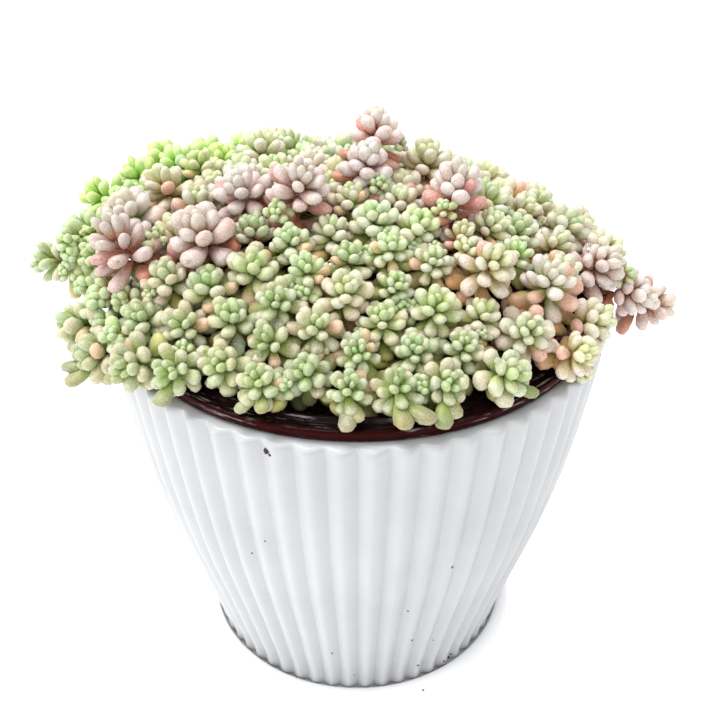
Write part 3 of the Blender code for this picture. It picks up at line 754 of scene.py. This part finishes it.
def lay_out_stems(heads):
    """Where each stem stands in the mound's outline, with the heads that it carries."""
    draw = random.Random(LAYOUT_SEED + 1)
    stems = [head["place"].xy for head in heads if head["rows"] == 3]
    fixed = len(stems)
    spots = sunflower(STEM_COUNT, draw, 0.0)
    for stem in stems:
        spots.pop(nearest(stem, spots))
    stems += [Vector(spot) for spot in spots]
    for _ in range(STEM_ROUNDS):
        owned = share_heads(stems, heads)
        for k in range(fixed, len(stems)):
            if owned[k]:
                middle = sum((head["place"].xy for head in owned[k]), Vector((0, 0))) / len(owned[k])
                stems[k] = stems[k].lerp(middle, STEM_SHIFT)
    owned = share_heads(stems, heads)
    return [(stem, group) for stem, group in zip(stems, owned) if group]


def share_heads(stems, heads):
    """Gives each head to the nearest stem that can still carry one."""
    owned = [[] for _ in stems]
    for head in heads:
        order = sorted(range(len(stems)), key=lambda k: (stems[k] - head["place"].xy).length)
        for k in order:
            if len(owned[k]) < MOST_HEADS:
                owned[k].append(head)
                break
    return owned


def stem_route(stem, group):
    """Middle points of a stem from its foot in the soil to the top of its fork."""
    foot = stem * (STEM_CIRCLE / mound_reach(math.atan2(stem.y, stem.x)))
    middle = sum((head["place"] for head in group), Vector()) / len(group)
    axis = sum((head["axis"] for head in group), Vector()).normalized()
    drop = max(head["reach"] * HEAD_DEPTH[head["rows"]] for head in group) + FORK_DROP
    fork = middle - axis * drop
    across = fork.xy.length
    if across > FORK_INSIDE:
        fork = Vector((*(fork.xy * (FORK_OVER_LIP / across)), max(fork.z, LIP_TOP + LIP_TO_FORK)))
    route = [Vector((*foot, SOIL_HEIGHT - STEM_DEPTH + GAP)), Vector((*foot, SOIL_HEIGHT + MM))]
    way = (middle - fork).normalized()
    if fork.xy.length > FORK_INSIDE:
        bend = fork.xy * (LIP_BEND / fork.xy.length)
        route.append(Vector((*bend, fork.z - BEND_DROP)))
    return route + [fork, fork + way * FORK_LENGTH]


def plan_shoot(stem, group):
    """The route of a stem with its heads, the leading one first, and the shoot's colour."""
    route = stem_route(stem, group)
    fork = (route[-2] + route[-1]) / 2
    way = (route[-1] - route[-2]).normalized()
    if fork.xy.length > FORK_INSIDE:
        for head in group:
            apart = (head["place"] - route[-1]).normalized()
            head["axis"] = (head["axis"] + apart * TURN_AWAY).normalized()
    colours = [head["colour"] for head in group]
    colour = max(sorted(set(colours), reverse=True), key=colours.count)
    if group[0]["rows"] == 3:
        colour = group[0]["colour"]
    group = sorted(group, key=lambda head: -(head["place"] - fork).normalized().dot(way))
    return {"route": route, "heads": group, "colour": colour}


heads = lay_out_heads()
plans = [plan_shoot(stem, group) for stem, group in lay_out_stems(heads)]


# Sedum, its leaves. They are fat, smooth and covered in a pale waxy bloom that rubs off, greener where
# they join the stem and darker there as painted shade deep in the head, and flecked with peach or rust at
# the tip. The plant's own colours set their tints.
# Each form runs from root to tip: height, half width and half thickness, and lift towards the bud.
LEAF_FORMS = {
    "bud": ((0, 0, 0, 0), (0.06, 0.48, 0.46, 0), (0.26, 0.84, 0.80, -0.05), (0.53, 1.0, 0.95, -0.08),
            (0.79, 0.90, 0.86, -0.02), (0.945, 0.56, 0.54, 0.06), (1, 0, 0, 0.10)),
    "egg": ((0, 0, 0, 0), (0.05, 0.36, 0.34, 0), (0.26, 0.72, 0.68, -0.08), (0.54, 0.98, 0.90, -0.14),
            (0.79, 0.98, 0.88, -0.10), (0.945, 0.65, 0.59, 0.0), (1, 0, 0, 0.06)),
    "full": ((0, 0, 0, 0), (0.05, 0.30, 0.30, 0), (0.25, 0.62, 0.60, -0.10), (0.53, 0.92, 0.86, -0.18),
             (0.78, 1.04, 0.92, -0.14), (0.945, 0.70, 0.61, -0.02), (1, 0, 0, 0.04)),
    "old": ((0, 0, 0, 0), (0.04, 0.34, 0.32, 0), (0.24, 0.70, 0.64, -0.12), (0.53, 1.0, 0.84, -0.22),
            (0.79, 0.98, 0.80, -0.24), (0.945, 0.64, 0.54, -0.18), (1, 0, 0, -0.14)),
}
# How far down a finished level of a leaf is put aside while the others are picked
ASIDE = 20


def shape_leaf(name, sections):
    """One leaf with its root at the origin, its tip at height 1 and its upper face towards +Y."""
    bands = len(sections) - 1
    bpy.ops.mesh.primitive_uv_sphere_add(segments=10, ring_count=bands, radius=1, enter_editmode=True)
    leaf = bpy.context.object
    leaf.name = name
    for level, (height, width, thickness, lift) in enumerate(sections):
        angle = math.pi * level / bands
        was = -math.cos(angle)
        pick(leaf, lambda co: abs(co.z - was) < 0.001)
        if width:
            shape = (width / math.sin(angle), thickness / math.sin(angle), 1)
            bpy.ops.transform.resize(value=shape, center_override=(0, 0, 0))
        bpy.ops.transform.translate(value=(0, lift, height - was - ASIDE))
    bpy.ops.mesh.select_all(action="SELECT")
    bpy.ops.transform.translate(value=(0, 0, ASIDE))
    bpy.ops.mesh.normals_make_consistent(inside=False)
    bpy.ops.object.mode_set(mode="OBJECT")
    bpy.ops.object.shade_smooth()
    along = leaf.data.attributes.new("leaf_along", "FLOAT", "POINT")
    along.data.foreach_set("value", [vert.co.z for vert in leaf.data.vertices])
    leaf.data.attributes.new("leaf_blush", "FLOAT", "POINT")
    leaf.data.attributes.new("leaf_tint", "FLOAT_COLOR", "POINT")
    return leaf


leaf_forms = {name: shape_leaf(name + "_leaf", sections) for name, sections in LEAF_FORMS.items()}

frosted, given, made = start_group("frosted_leaf", {
    "Tint": (0.5, 0.6, 0.4, 1), "Root Green and Shade": (0.4, 0.5, 0.1, 1), "Along": 0.5, "Blush": 0.5,
    "Blush Colour": (0.7, 0.4, 0.2, 1), "Bloom": 0.3,
})
place = object_place(frosted)
uneven = noise(place, 420, 3, 0.6)
fine = noise(place, 3000, 2, 0.55)
along = plus(given["Along"], times(maths("SUBTRACT", uneven, 0.5), 0.7))
tip = times(grade(along, 0.42, 1.0), given["Blush"])
# Towards the root the tint turns to the root colour: greener, and darker as painted shade deep in the head.
colour = mix(grade(along, 0.74, 0.12), given["Tint"], given["Root Green and Shade"])
colour = mix(times(tip, 0.75), colour, given["Blush Colour"])
waxy = times(times(grade(uneven, 0.34, 0.62, 0.6, 1.0), given["Bloom"]), grade(along, 0.38, 0.88))
colour = mix(waxy, colour, (0.78, 0.79, 0.82, 1))
freckle = times(grade(cells(place, 1900)["Distance"], 0.40, 0.16), grade(tip, 0.08, 0.6))
rust = mix(1.0, given["Blush Colour"], (0.55, 0.30, 0.25, 1), "MULTIPLY")
colour = mix(times(freckle, 0.5), colour, rust)
colour = mix(times(grade(fine, 0.48, 0.36), 0.15), colour, given["Root Green and Shade"])
frost = times(grade(fine, 0.48, 0.70), grade(given["Bloom"], 0, 0.5, 0.14, 0.55))
fill_in(made, {
    "Colour": mix(frost, colour, (0.86, 0.88, 0.92, 1)),
    "Roughness": plus(grade(waxy, 0, 0.5, 0.30, 0.52), times(fine, 0.12)),
    "Height": plus(fine, times(uneven, 1.5)),
})


def leaf_finish(name, root_green_and_shade, blush_colour, bloom):
    """The leaf's surface for one of the plant's colours. The tint's alpha says how much bloom is left."""
    material, tree, shader = start_material(name)
    tint, along, blush = (add_node(tree, "ShaderNodeAttribute", attribute_name=attribute).outputs
                          for attribute in ("leaf_tint", "leaf_along", "leaf_blush"))
    lay_surface(shader, frosted, {
        "Tint": tint["Color"], "Root Green and Shade": (*root_green_and_shade, 1), "Along": along["Fac"],
        "Blush": blush["Fac"], "Blush Colour": (*blush_colour, 1), "Bloom": times(tint["Alpha"], bloom),
    }, 0.00010, 0.8)
    fill_in(shader.inputs, {
        "Subsurface Weight": 0.22, "Subsurface Radius": (1.0, 0.9, 0.35), "Subsurface Scale": 0.0013,
        "Specular IOR Level": 0.5, "Sheen Weight": 0.50, "Sheen Roughness": 0.30,
        "Sheen Tint": (0.98, 1.0, 0.96, 1),
    })
    return material


# The first colour of each finish is that of the root: greener, and darker as painted shade where the leaves
# crowd deep in the head.
leaf_finishes = {
    "mint": leaf_finish("mint_leaf", (0.36, 0.46, 0.06), (0.78, 0.42, 0.16), 0.47),
    "lime": leaf_finish("lime_leaf", (0.26, 0.50, 0.03), (0.62, 0.62, 0.15), 0.26),
    "blush": leaf_finish("blush_leaf", (0.46, 0.36, 0.08), (0.74, 0.30, 0.17), 0.48),
    "mauve": leaf_finish("mauve_leaf", (0.46, 0.15, 0.06), (0.64, 0.21, 0.12), 0.42),
}
# Tints of each colour: by the bud, of the outer leaves, of the old leaves, and of the odd one out
TINTS = {
    "mint": ((0.41, 0.66, 0.15), (0.57, 0.64, 0.19), (0.42, 0.48, 0.10), (0.84, 0.50, 0.18)),
    "lime": ((0.62, 0.84, 0.16), (0.50, 0.76, 0.09), (0.30, 0.48, 0.03), (0.66, 0.74, 0.22)),
    "blush": ((0.56, 0.70, 0.24), (0.77, 0.67, 0.34), (0.62, 0.33, 0.08), (0.80, 0.31, 0.15)),
    "mauve": ((0.67, 0.63, 0.47), (0.75, 0.57, 0.48), (0.56, 0.19, 0.075), (0.62, 0.13, 0.09)),
}
# How heads with two and three rows of leaves grow: number of leaves, then their length, half width and
# rise as shares of the head's reach and their angle from its axis, each as that of the first leaf, that of
# the last and the power of the way between, and last the half width of the old leaves
GROWTH = {
    2: (18, (0.76, 1.38, 0.6), (0.205, 0.37, 0.6), (0.30, -0.52, 1.0), (7, 90, 0.85), 0.43),
    3: (23, (0.66, 1.10, 0.6), (0.15, 0.262, 0.6), (0.40, -0.58, 1.0), (6, 84, 0.85), 0.32),
}
OLD_LEAVES = 6
BUD_LEAVES = 10
LEAF_TURN = math.radians(137.508)
# A head that reaches less than this has fewer leaves, which are plumper
FULL_REACH = {2: 4.0 * MM, 3: 7.6 * MM}
HEAD_TILT = 0.24
# Over this distance, from the front left to the back right, the leaves' tints are painted lighter and with
# more bloom, as painted light
LIGHT_FALL_SPAN = 60 * MM
# How far a leaf's tip may pass its head's cell
LEAF_SPARE = 1.0 * MM
OLD_SPARE = 1.6 * MM
HANG_SPARE = 3.0 * MM
# A leaf that presses into a rim is raised by this angle, up to this many times
LIFT_STEP = math.radians(9)
LIFT_ROUNDS = 9
SIDE_BUD_SHARE = {2: 0.7, 3: 0.9}
# Where young heads fill the space between the high and the low heads that lean out at the left
HIGH_BUDS = ((-0.35, -0.30, -0.90), (0.10, -0.60, -0.90), (0.45, -0.25, -0.85))
LOW_BUDS = ((0.65, -0.10, 0.75), (0.90, -0.30, 0.30))
FAR_LEFT = -50 * MM
HIGH_HEAD = 115 * MM
# How strongly the tips of each colour blush, least and most, and the share of odd leaves
BLUSHES = {
    "mint": (0.0, 0.7, 0.10), "lime": (0.0, 0.2, 0.04), "blush": (0.2, 1.0, 0.14), "mauve": (0.2, 0.9, 0.16),
}


def rim_top(radius):
    """Rise of the two pots' rims above the cover pot's ring, at a distance from the axis."""
    if RIM_INNER < radius < LIP_RADIUS + GAP:
        return LIP_TOP - RIM_HEIGHT
    if RIM_INNER < radius < RIM_OUTER:
        return 0.0
    return -RIM_HEIGHT


def stands_clear(points):
    return all(point.z > RIM_HEIGHT + rim_top(point.xy.length) + GAP for point in points)


def grow_leaf(head, form, rise, bearing, polar, length, width, flatness, tint, blush, spare, draw):
    """A leaf of a head: its root at that rise along the axis, its tip at that angle from the axis, kept
    in the head's cell and lifted where it would press into a rim."""
    axis, reach = head["axis"], head["reach"]
    out = Matrix.Rotation(bearing, 3, axis) @ axis.orthogonal().normalized()
    outward = Vector((*head["place"].xy, 0)).normalized()
    polar += math.radians(head["droop"]) * max(0.0, out.dot(outward))
    root = head["heart"] + axis * rise * reach + out * reach * 0.08
    for _ in range(LIFT_ROUNDS):
        way = out * math.sin(polar) + axis * math.cos(polar)
        tip = keep_in_cell(root + way * length, head, spare)
        half = (tip + root) / 2 - axis * width * flatness * 0.8
        if stands_clear((tip, tip - axis * width * 0.4, half)):
            break
        polar -= LIFT_STEP
        length *= 0.95
    way = tip - root
    span = way.length
    width *= min(1.0, max(0.6, span / length)) ** 0.5
    way.normalize()
    up = (axis - way * axis.dot(way)).normalized() if polar > math.radians(4) else -out
    up = Matrix.Rotation(draw.uniform(-0.25, 0.25), 3, way) @ up
    pose = Matrix((up.cross(way) * width, up * width * flatness, way * span)).transposed().to_4x4()
    leaf = copy_of(leaf_forms[form], Matrix.Translation(root) @ pose)
    count = len(leaf.data.vertices)
    leaf.data.attributes["leaf_blush"].data.foreach_set("value", [blush] * count)
    leaf.data.attributes["leaf_tint"].data.foreach_set("color", list(tint) * count)
    return leaf


def blend_tint(first, second, share, bloom):
    return [*(a + (b - a) * share for a, b in zip(first, second)), bloom]


def shade_tint(tint, shade, warm=0.0):
    return [tint[0] * shade * (1 + warm), tint[1] * shade, tint[2] * shade * (1 - warm), tint[3]]


def grow_head(head, draw):
    """All leaves of a head, from its bud down round a spiral, and the old ones below them. Towards the
    back right their tints are painted paler and carry more bloom, as painted light."""
    place, reach = head["place"], head["reach"]
    number, *ranges, old_width = GROWTH[head["rows"]]
    near, far, old, odd = TINTS[head["colour"]]
    least, most, odd_share = BLUSHES[head["colour"]]
    # Painted light: the tints are lighter and the bloom stronger towards the back right.
    painted_light = min(0.85, max(0.0, 0.8 + (0.9 * place.y + 0.5 * place.x) / LIGHT_FALL_SPAN))
    shade, warm = draw.uniform(0.84, 1.06) * (0.59 + 0.45 * painted_light), draw.uniform(-0.08, 0.08)
    opened, plump = draw.uniform(0.84, 1.12), draw.uniform(0.90, 1.12)
    young = 0.0 if head["rows"] == 3 else draw.uniform(-0.12, 0.12)
    tilt = Vector((draw.uniform(-1, 1), draw.uniform(-1, 1), draw.uniform(-1, 1))) * HEAD_TILT
    head["axis"] = (head["axis"] + tilt).normalized()
    smaller = max(0.0, 1 - reach / FULL_REACH[head["rows"]])
    count = round((number + draw.randint(-2, 1)) * (1 - 0.7 * smaller))
    plump *= 1 + 1.2 * smaller
    turn_by = draw.uniform(0, math.tau)
    leaves = []
    for k in range(count):
        share = k / (count - 1)
        length, width, rise, polar = (first + (last - first) * share**power for first, last, power in ranges)
        bearing = turn_by + k * LEAF_TURN + draw.uniform(-0.16, 0.16)
        polar = math.radians(polar * opened + draw.uniform(-7, 7))
        size = draw.uniform(0.86, 1.10) * (1 - young) * reach
        form = "bud" if share < 0.25 else ("egg" if draw.random() < 0.5 else "full")
        bloom = (0.5 + 0.5 * min(1, 2 * share)) * (0.7 + 0.6 * painted_light)
        tint = blend_tint(near, far, min(1.0, max(0.0, share * 1.25 - young)), bloom)
        blush = draw.uniform(least, most) * (0.3 + 0.7 * share)
        if share > 0.45 and draw.random() < odd_share:
            tint, blush = blend_tint(far, odd, 0.8, 0.55), most
        tint = shade_tint(tint, draw.uniform(0.90, 1.08) * shade, warm)
        leaves.append(grow_leaf(head, form, rise, bearing, polar, length * size, width * size * plump, 0.86,
                                tint, blush, LEAF_SPARE, draw))
    lowest = ranges[2][1]
    for k in range(OLD_LEAVES):
        bearing = turn_by + (count + k) * LEAF_TURN + draw.uniform(-0.3, 0.3)
        polar = math.radians(draw.uniform(78, 112))
        size = draw.uniform(0.9, 1.15) * reach
        tint = blend_tint(old, far, draw.uniform(0, 0.5), draw.uniform(0.0, 0.2))
        tint = shade_tint(tint, draw.uniform(0.64, 0.92))
        blush = draw.uniform(0.2, 1.0) * most
        rise = lowest - 0.16 - 0.17 * k
        leaves.append(grow_leaf(head, "old", rise, bearing, polar, 1.42 * size, old_width * size, 0.82,
                                tint, blush, OLD_SPARE, draw))
    return leaves


def grow_side_bud(head, draw, towards=None):
    """A young head that breaks from the stem beside a grown one, and larger where it has room to fill."""
    axis = head["axis"]
    out = towards or Matrix.Rotation(draw.uniform(0, math.tau), 3, axis) @ axis.orthogonal().normalized()
    off = out * 1.4 if towards else out * 0.95 - axis * 0.45
    place = keep_in_cell(head["place"] + off * head["reach"], head, 0.3 * MM)
    reach = draw.uniform(3.8, 4.4) if towards else draw.uniform(2.4, 3.3)
    bud = dict(head, heart=place, axis=(axis + out * 0.6).normalized(), reach=reach * MM, droop=0)
    near, far = TINTS["mint" if head["colour"] == "mauve" else head["colour"]][:2]
    turn_by = draw.uniform(0, math.tau)
    leaves = []
    for k in range(BUD_LEAVES):
        share = k / (BUD_LEAVES - 1)
        polar = math.radians(12 + 80 * share + draw.uniform(-6, 6))
        tint = shade_tint(blend_tint(near, far, share * 0.6, 0.7), draw.uniform(0.74, 0.87))
        size = bud["reach"] * draw.uniform(0.9, 1.1)
        form = "bud" if share < 0.4 else "egg"
        leaves.append(grow_leaf(bud, form, 0.3 - 0.6 * share, turn_by + k * LEAF_TURN, polar,
                                size * (0.65 + 0.6 * share), size * (0.25 + 0.15 * share), 0.88,
                                tint, 0.1, MM, draw))
    return leaves


def grow_hanging_leaves(head, draw):
    """Large olive leaves low on an outermost head, lying over the lip of the pot."""
    outward = Vector((*head["place"].xy, 0)).normalized()
    axis = Vector((0, 0, 1))
    fringe = dict(head, heart=head["place"] - axis * 0.25 * head["reach"], axis=axis, droop=0)
    straight = axis.orthogonal().normalized()
    start = math.atan2(straight.cross(outward).z, straight.dot(outward))
    leaves = []
    for side in draw.sample((-1, 0, 1), draw.randint(1, 2)):
        bearing = start + side * draw.uniform(0.3, 0.8)
        polar = math.radians(draw.uniform(92, 116))
        size = draw.uniform(0.75, 1.1) * head["reach"]
        tint = shade_tint([0.21, 0.26, 0.05, draw.uniform(0.1, 0.5)], draw.uniform(0.64, 1.0))
        leaves.append(grow_leaf(fringe, "full", -0.15, bearing, polar, 1.95 * size, 0.46 * size, 0.70,
                                tint, draw.uniform(0, 0.4), HANG_SPARE, draw))
    return leaves


# Sedum, its stems. Fleshy and red-brown, as thick as a matchstick, they fork under the heads. Each
# shoot is one body of stems and leaves, and stands rooted in the soil.
stem_skin, tree, shader = start_material("stem_skin")
place = object_place(tree)
streak = noise(stretch(place, (1, 1, 0.35)), 900, 4, 0.6)
hue = mix(grade(noise(place, 70, 2), 0.4, 0.6), (0.22, 0.060, 0.035, 1), (0.42, 0.050, 0.050, 1))
fill_in(shader.inputs, {
    "Base Color": mix(grade(streak, 0.35, 0.7, 0, 0.6), hue, (0.30, 0.20, 0.09, 1)),
    "Roughness": grade(streak, 0.3, 0.7, 0.3, 0.55),
    "Normal": bump(streak, 0.0002, 0.7),
})


def grow_stems(plan):
    """The stem of a shoot and its branches, round and tapered, as one mesh."""
    route = plan["route"]
    fork = (route[-2] + route[-1]) / 2
    lines = [(route[:-1] + [fork], 1.1, 0.95)]
    for head in plan["heads"]:
        foot = head["place"] + head["axis"] * HEAD_FOOT[head["rows"]] * head["reach"]
        top = head["place"] + head["axis"] * 0.2 * head["reach"]
        lines.append(([fork, fork.lerp(foot, 0.5), foot, top], 0.85, 0.45))
    curve = bpy.data.curves.new("stems", "CURVE")
    curve.dimensions = "3D"
    curve.bevel_depth = MM
    curve.bevel_resolution = 1
    curve.resolution_u = 3
    curve.use_fill_caps = True
    for points, thick, thin in lines:
        line = curve.splines.new("NURBS")
        line.points.add(len(points) - 1)
        line.use_endpoint_u = True
        line.order_u = 3
        for k, point in enumerate(points):
            line.points[k].co = (*point, 1)
            line.points[k].radius = thick + (thin - thick) * k / (len(points) - 1)
    stems = bpy.data.objects.new("stems", curve)
    scene.collection.objects.link(stems)
    choose([stems])
    bpy.ops.object.convert(target="MESH")
    stems = bpy.context.object
    stems.data.shade_smooth()
    return stems


# Where the outermost heads that hang over the lip stand: between these two across, and no further back
HANG_LEFT = -58 * MM
HANG_RIGHT = 42 * MM
HANG_BACK = 40 * MM
draw = random.Random(LAYOUT_SEED + 3)
for number, plan in enumerate(plans, 1):
    colour = plan["colour"]
    stems = grow_stems(plan)
    stems.data.materials.append(stem_skin)
    parts = [stems]
    for head in plan["heads"]:
        place = head["heart"] = head["place"]
        leaves = grow_head(head, draw)
        if draw.random() < SIDE_BUD_SHARE[head["rows"]]:
            leaves += grow_side_bud(head, draw)
        if place.x < FAR_LEFT:
            for towards in HIGH_BUDS if place.z > HIGH_HEAD else LOW_BUDS:
                leaves += grow_side_bud(head, draw, Vector(towards))
        outermost = place.xy.length > 0.93 * mound_reach(math.atan2(place.y, place.x))
        if outermost and HANG_LEFT < place.x < HANG_RIGHT and place.y < HANG_BACK:
            leaves += grow_hanging_leaves(head, draw)
        for leaf in leaves:
            leaf.data.materials.append(leaf_finishes[colour])
        parts += leaves
    shoot = fuse(parts)
    shoot.name = shoot.data.name = f"sedum_{colour}_{number:02d}"
    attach(shoot, "root")
    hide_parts(f"{colour}_shoot_{number:02d}")
for leaf in leaf_forms.values():
    bpy.data.objects.remove(leaf, do_unlink=True)


# Water drops. The plant has just been watered: clear round drops lie on its leaves. Each is a dome that
# its own skin holds in shape, and rests on the leaves round it, where the photograph shows it.
# Place in the photograph, and radius in mm
DROPS = (
    (276, 324, 1.35), (239, 344, 1.45), (260, 355, 0.75), (588, 246, 0.8), (573, 265, 0.7), (498, 361, 0.8),
    (205, 302, 0.45), (330, 262, 0.5), (152, 300, 0.5), (382, 333, 0.5), (452, 338, 0.55), (425, 232, 0.5),
    (540, 322, 0.45), (188, 262, 0.4), (298, 196, 0.45), (612, 286, 0.5), (355, 388, 0.5), (398, 372, 0.4),
    (118, 262, 0.4), (318, 352, 0.4), (470, 292, 0.4), (519, 250, 0.4), (286, 388, 0.45), (205, 352, 0.5),
)


def sight(across, below):
    """The way from the camera through a point of the square picture."""
    pixels = PICTURE_WIDTH * camera.data.lens / camera.data.sensor_width
    middle = PICTURE_WIDTH / 2
    return (forward + right * ((across - middle) / pixels) + down * ((below - middle) / pixels)).normalized()


def seen_at(across, below, pieces):
    """The place and the normal of the nearest piece at a point of that picture."""
    hits = [piece.ray_cast(CAMERA_PLACE, sight(across, below)) for piece in pieces]
    hits = [(place, normal) for hit, place, normal, _ in hits if hit]
    return min(hits, key=lambda hit: (hit[0] - CAMERA_PLACE).length, default=None)


def lay_on(template, spot, normal, shape):
    """A copy of a template, its Z axis along the normal of the surface that it lies on."""
    facing = normal.to_track_quat("Z", "Y").to_matrix().to_4x4()
    return copy_of(template, Matrix.Translation(spot) @ facing @ Matrix.Diagonal((*shape, 1)))


bpy.ops.mesh.primitive_uv_sphere_add(segments=24, ring_count=14, radius=1, enter_editmode=True)
drop = bpy.context.object
drop.name = "drop"
for half, height in ((lambda co: co.z < 0.01, 0.6), (lambda co: co.z > 0.01, 0.92)):
    pick(drop, half)
    bpy.ops.transform.resize(value=(1, 1, height), center_override=(0, 0, 0))
close_up(180)

water, tree, shader = start_material("water")
place = object_place(tree)
# The grey-green tint is painted shade: it darkens the drops as the darker leaves seen through them would.
fill_in(shader.inputs, {
    "Base Color": (0.76, 0.84, 0.78, 1), "Transmission Weight": 1, "IOR": 1.33,
    "Roughness": grade(noise(place, 900, 2), 0.4, 0.7, 0.0, 0.04),
    "Normal": bump(noise(place, 500, 1), 0.00004, 0.4),
})

shoots = [piece for piece in scene.objects if piece.name.startswith("sedum_")]
turns = [math.tau * k / 8 for k in range(8)]
# How far round a drop's middle its carriers are looked for, in pixels for each mm of its radius
LOOK_ROUND = 3.6
drops = []
for across, below, radius in DROPS:
    out = LOOK_ROUND * radius
    around = [(across + out * math.cos(turn_by), below + out * math.sin(turn_by)) for turn_by in turns]
    found = [hit for hit in (seen_at(*point, shoots) for point in around + [(across, below)]) if hit]
    if found:
        found.sort(key=lambda hit: (hit[0] - CAMERA_PLACE).length)
        carriers = found[:3]
        depth = sum((hit[0] - CAMERA_PLACE).length for hit in carriers) / len(carriers)
        facing = sum((hit[1] for hit in carriers), Vector()).normalized()
        drops.append(lay_on(drop, CAMERA_PLACE + sight(across, below) * depth, facing, [radius * MM] * 3))
water_drops = fuse(drops)
water_drops.name = water_drops.data.name = "water_drops"
water_drops.data.materials.append(water)
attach(water_drops, "root")
bpy.data.objects.remove(drop, do_unlink=True)


# Crumbs of soil. A few have fallen on the pot and the saucer since they were wiped, and cling there.
# Place in the photograph, and radius in mm
CRUMBS = (
    (267, 451, 0.75), (270, 455, 0.35), (252, 553, 0.24), (265, 541, 0.22), (452, 567, 0.32),
    (332, 653, 0.27), (354, 675, 0.2), (412, 640, 0.28), (408, 611, 0.24), (433, 640, 0.18),
    (418, 665, 0.3), (423, 690, 0.3), (434, 691, 0.22), (448, 657, 0.45), (444, 661, 0.35), (451, 654, 0.3),
)
fallen = []
for across, below, radius in CRUMBS:
    found = seen_at(across, below, [pot, saucer])
    if found:
        spot, normal = found
        size = radius * MM
        fallen.append(lay_on(crumb, spot + normal * 0.2 * size, normal, (size, size * 0.8, size * 0.6)))
soil_crumbs = fuse(fallen)
soil_crumbs.name = soil_crumbs.data.name = "soil_crumbs"
soil_crumbs.data.materials.append(potting_mix)
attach(soil_crumbs, "root")


# The finished object stays within the size of the solids that it is dressed over.
bpy.data.objects.remove(crumb, do_unlink=True)
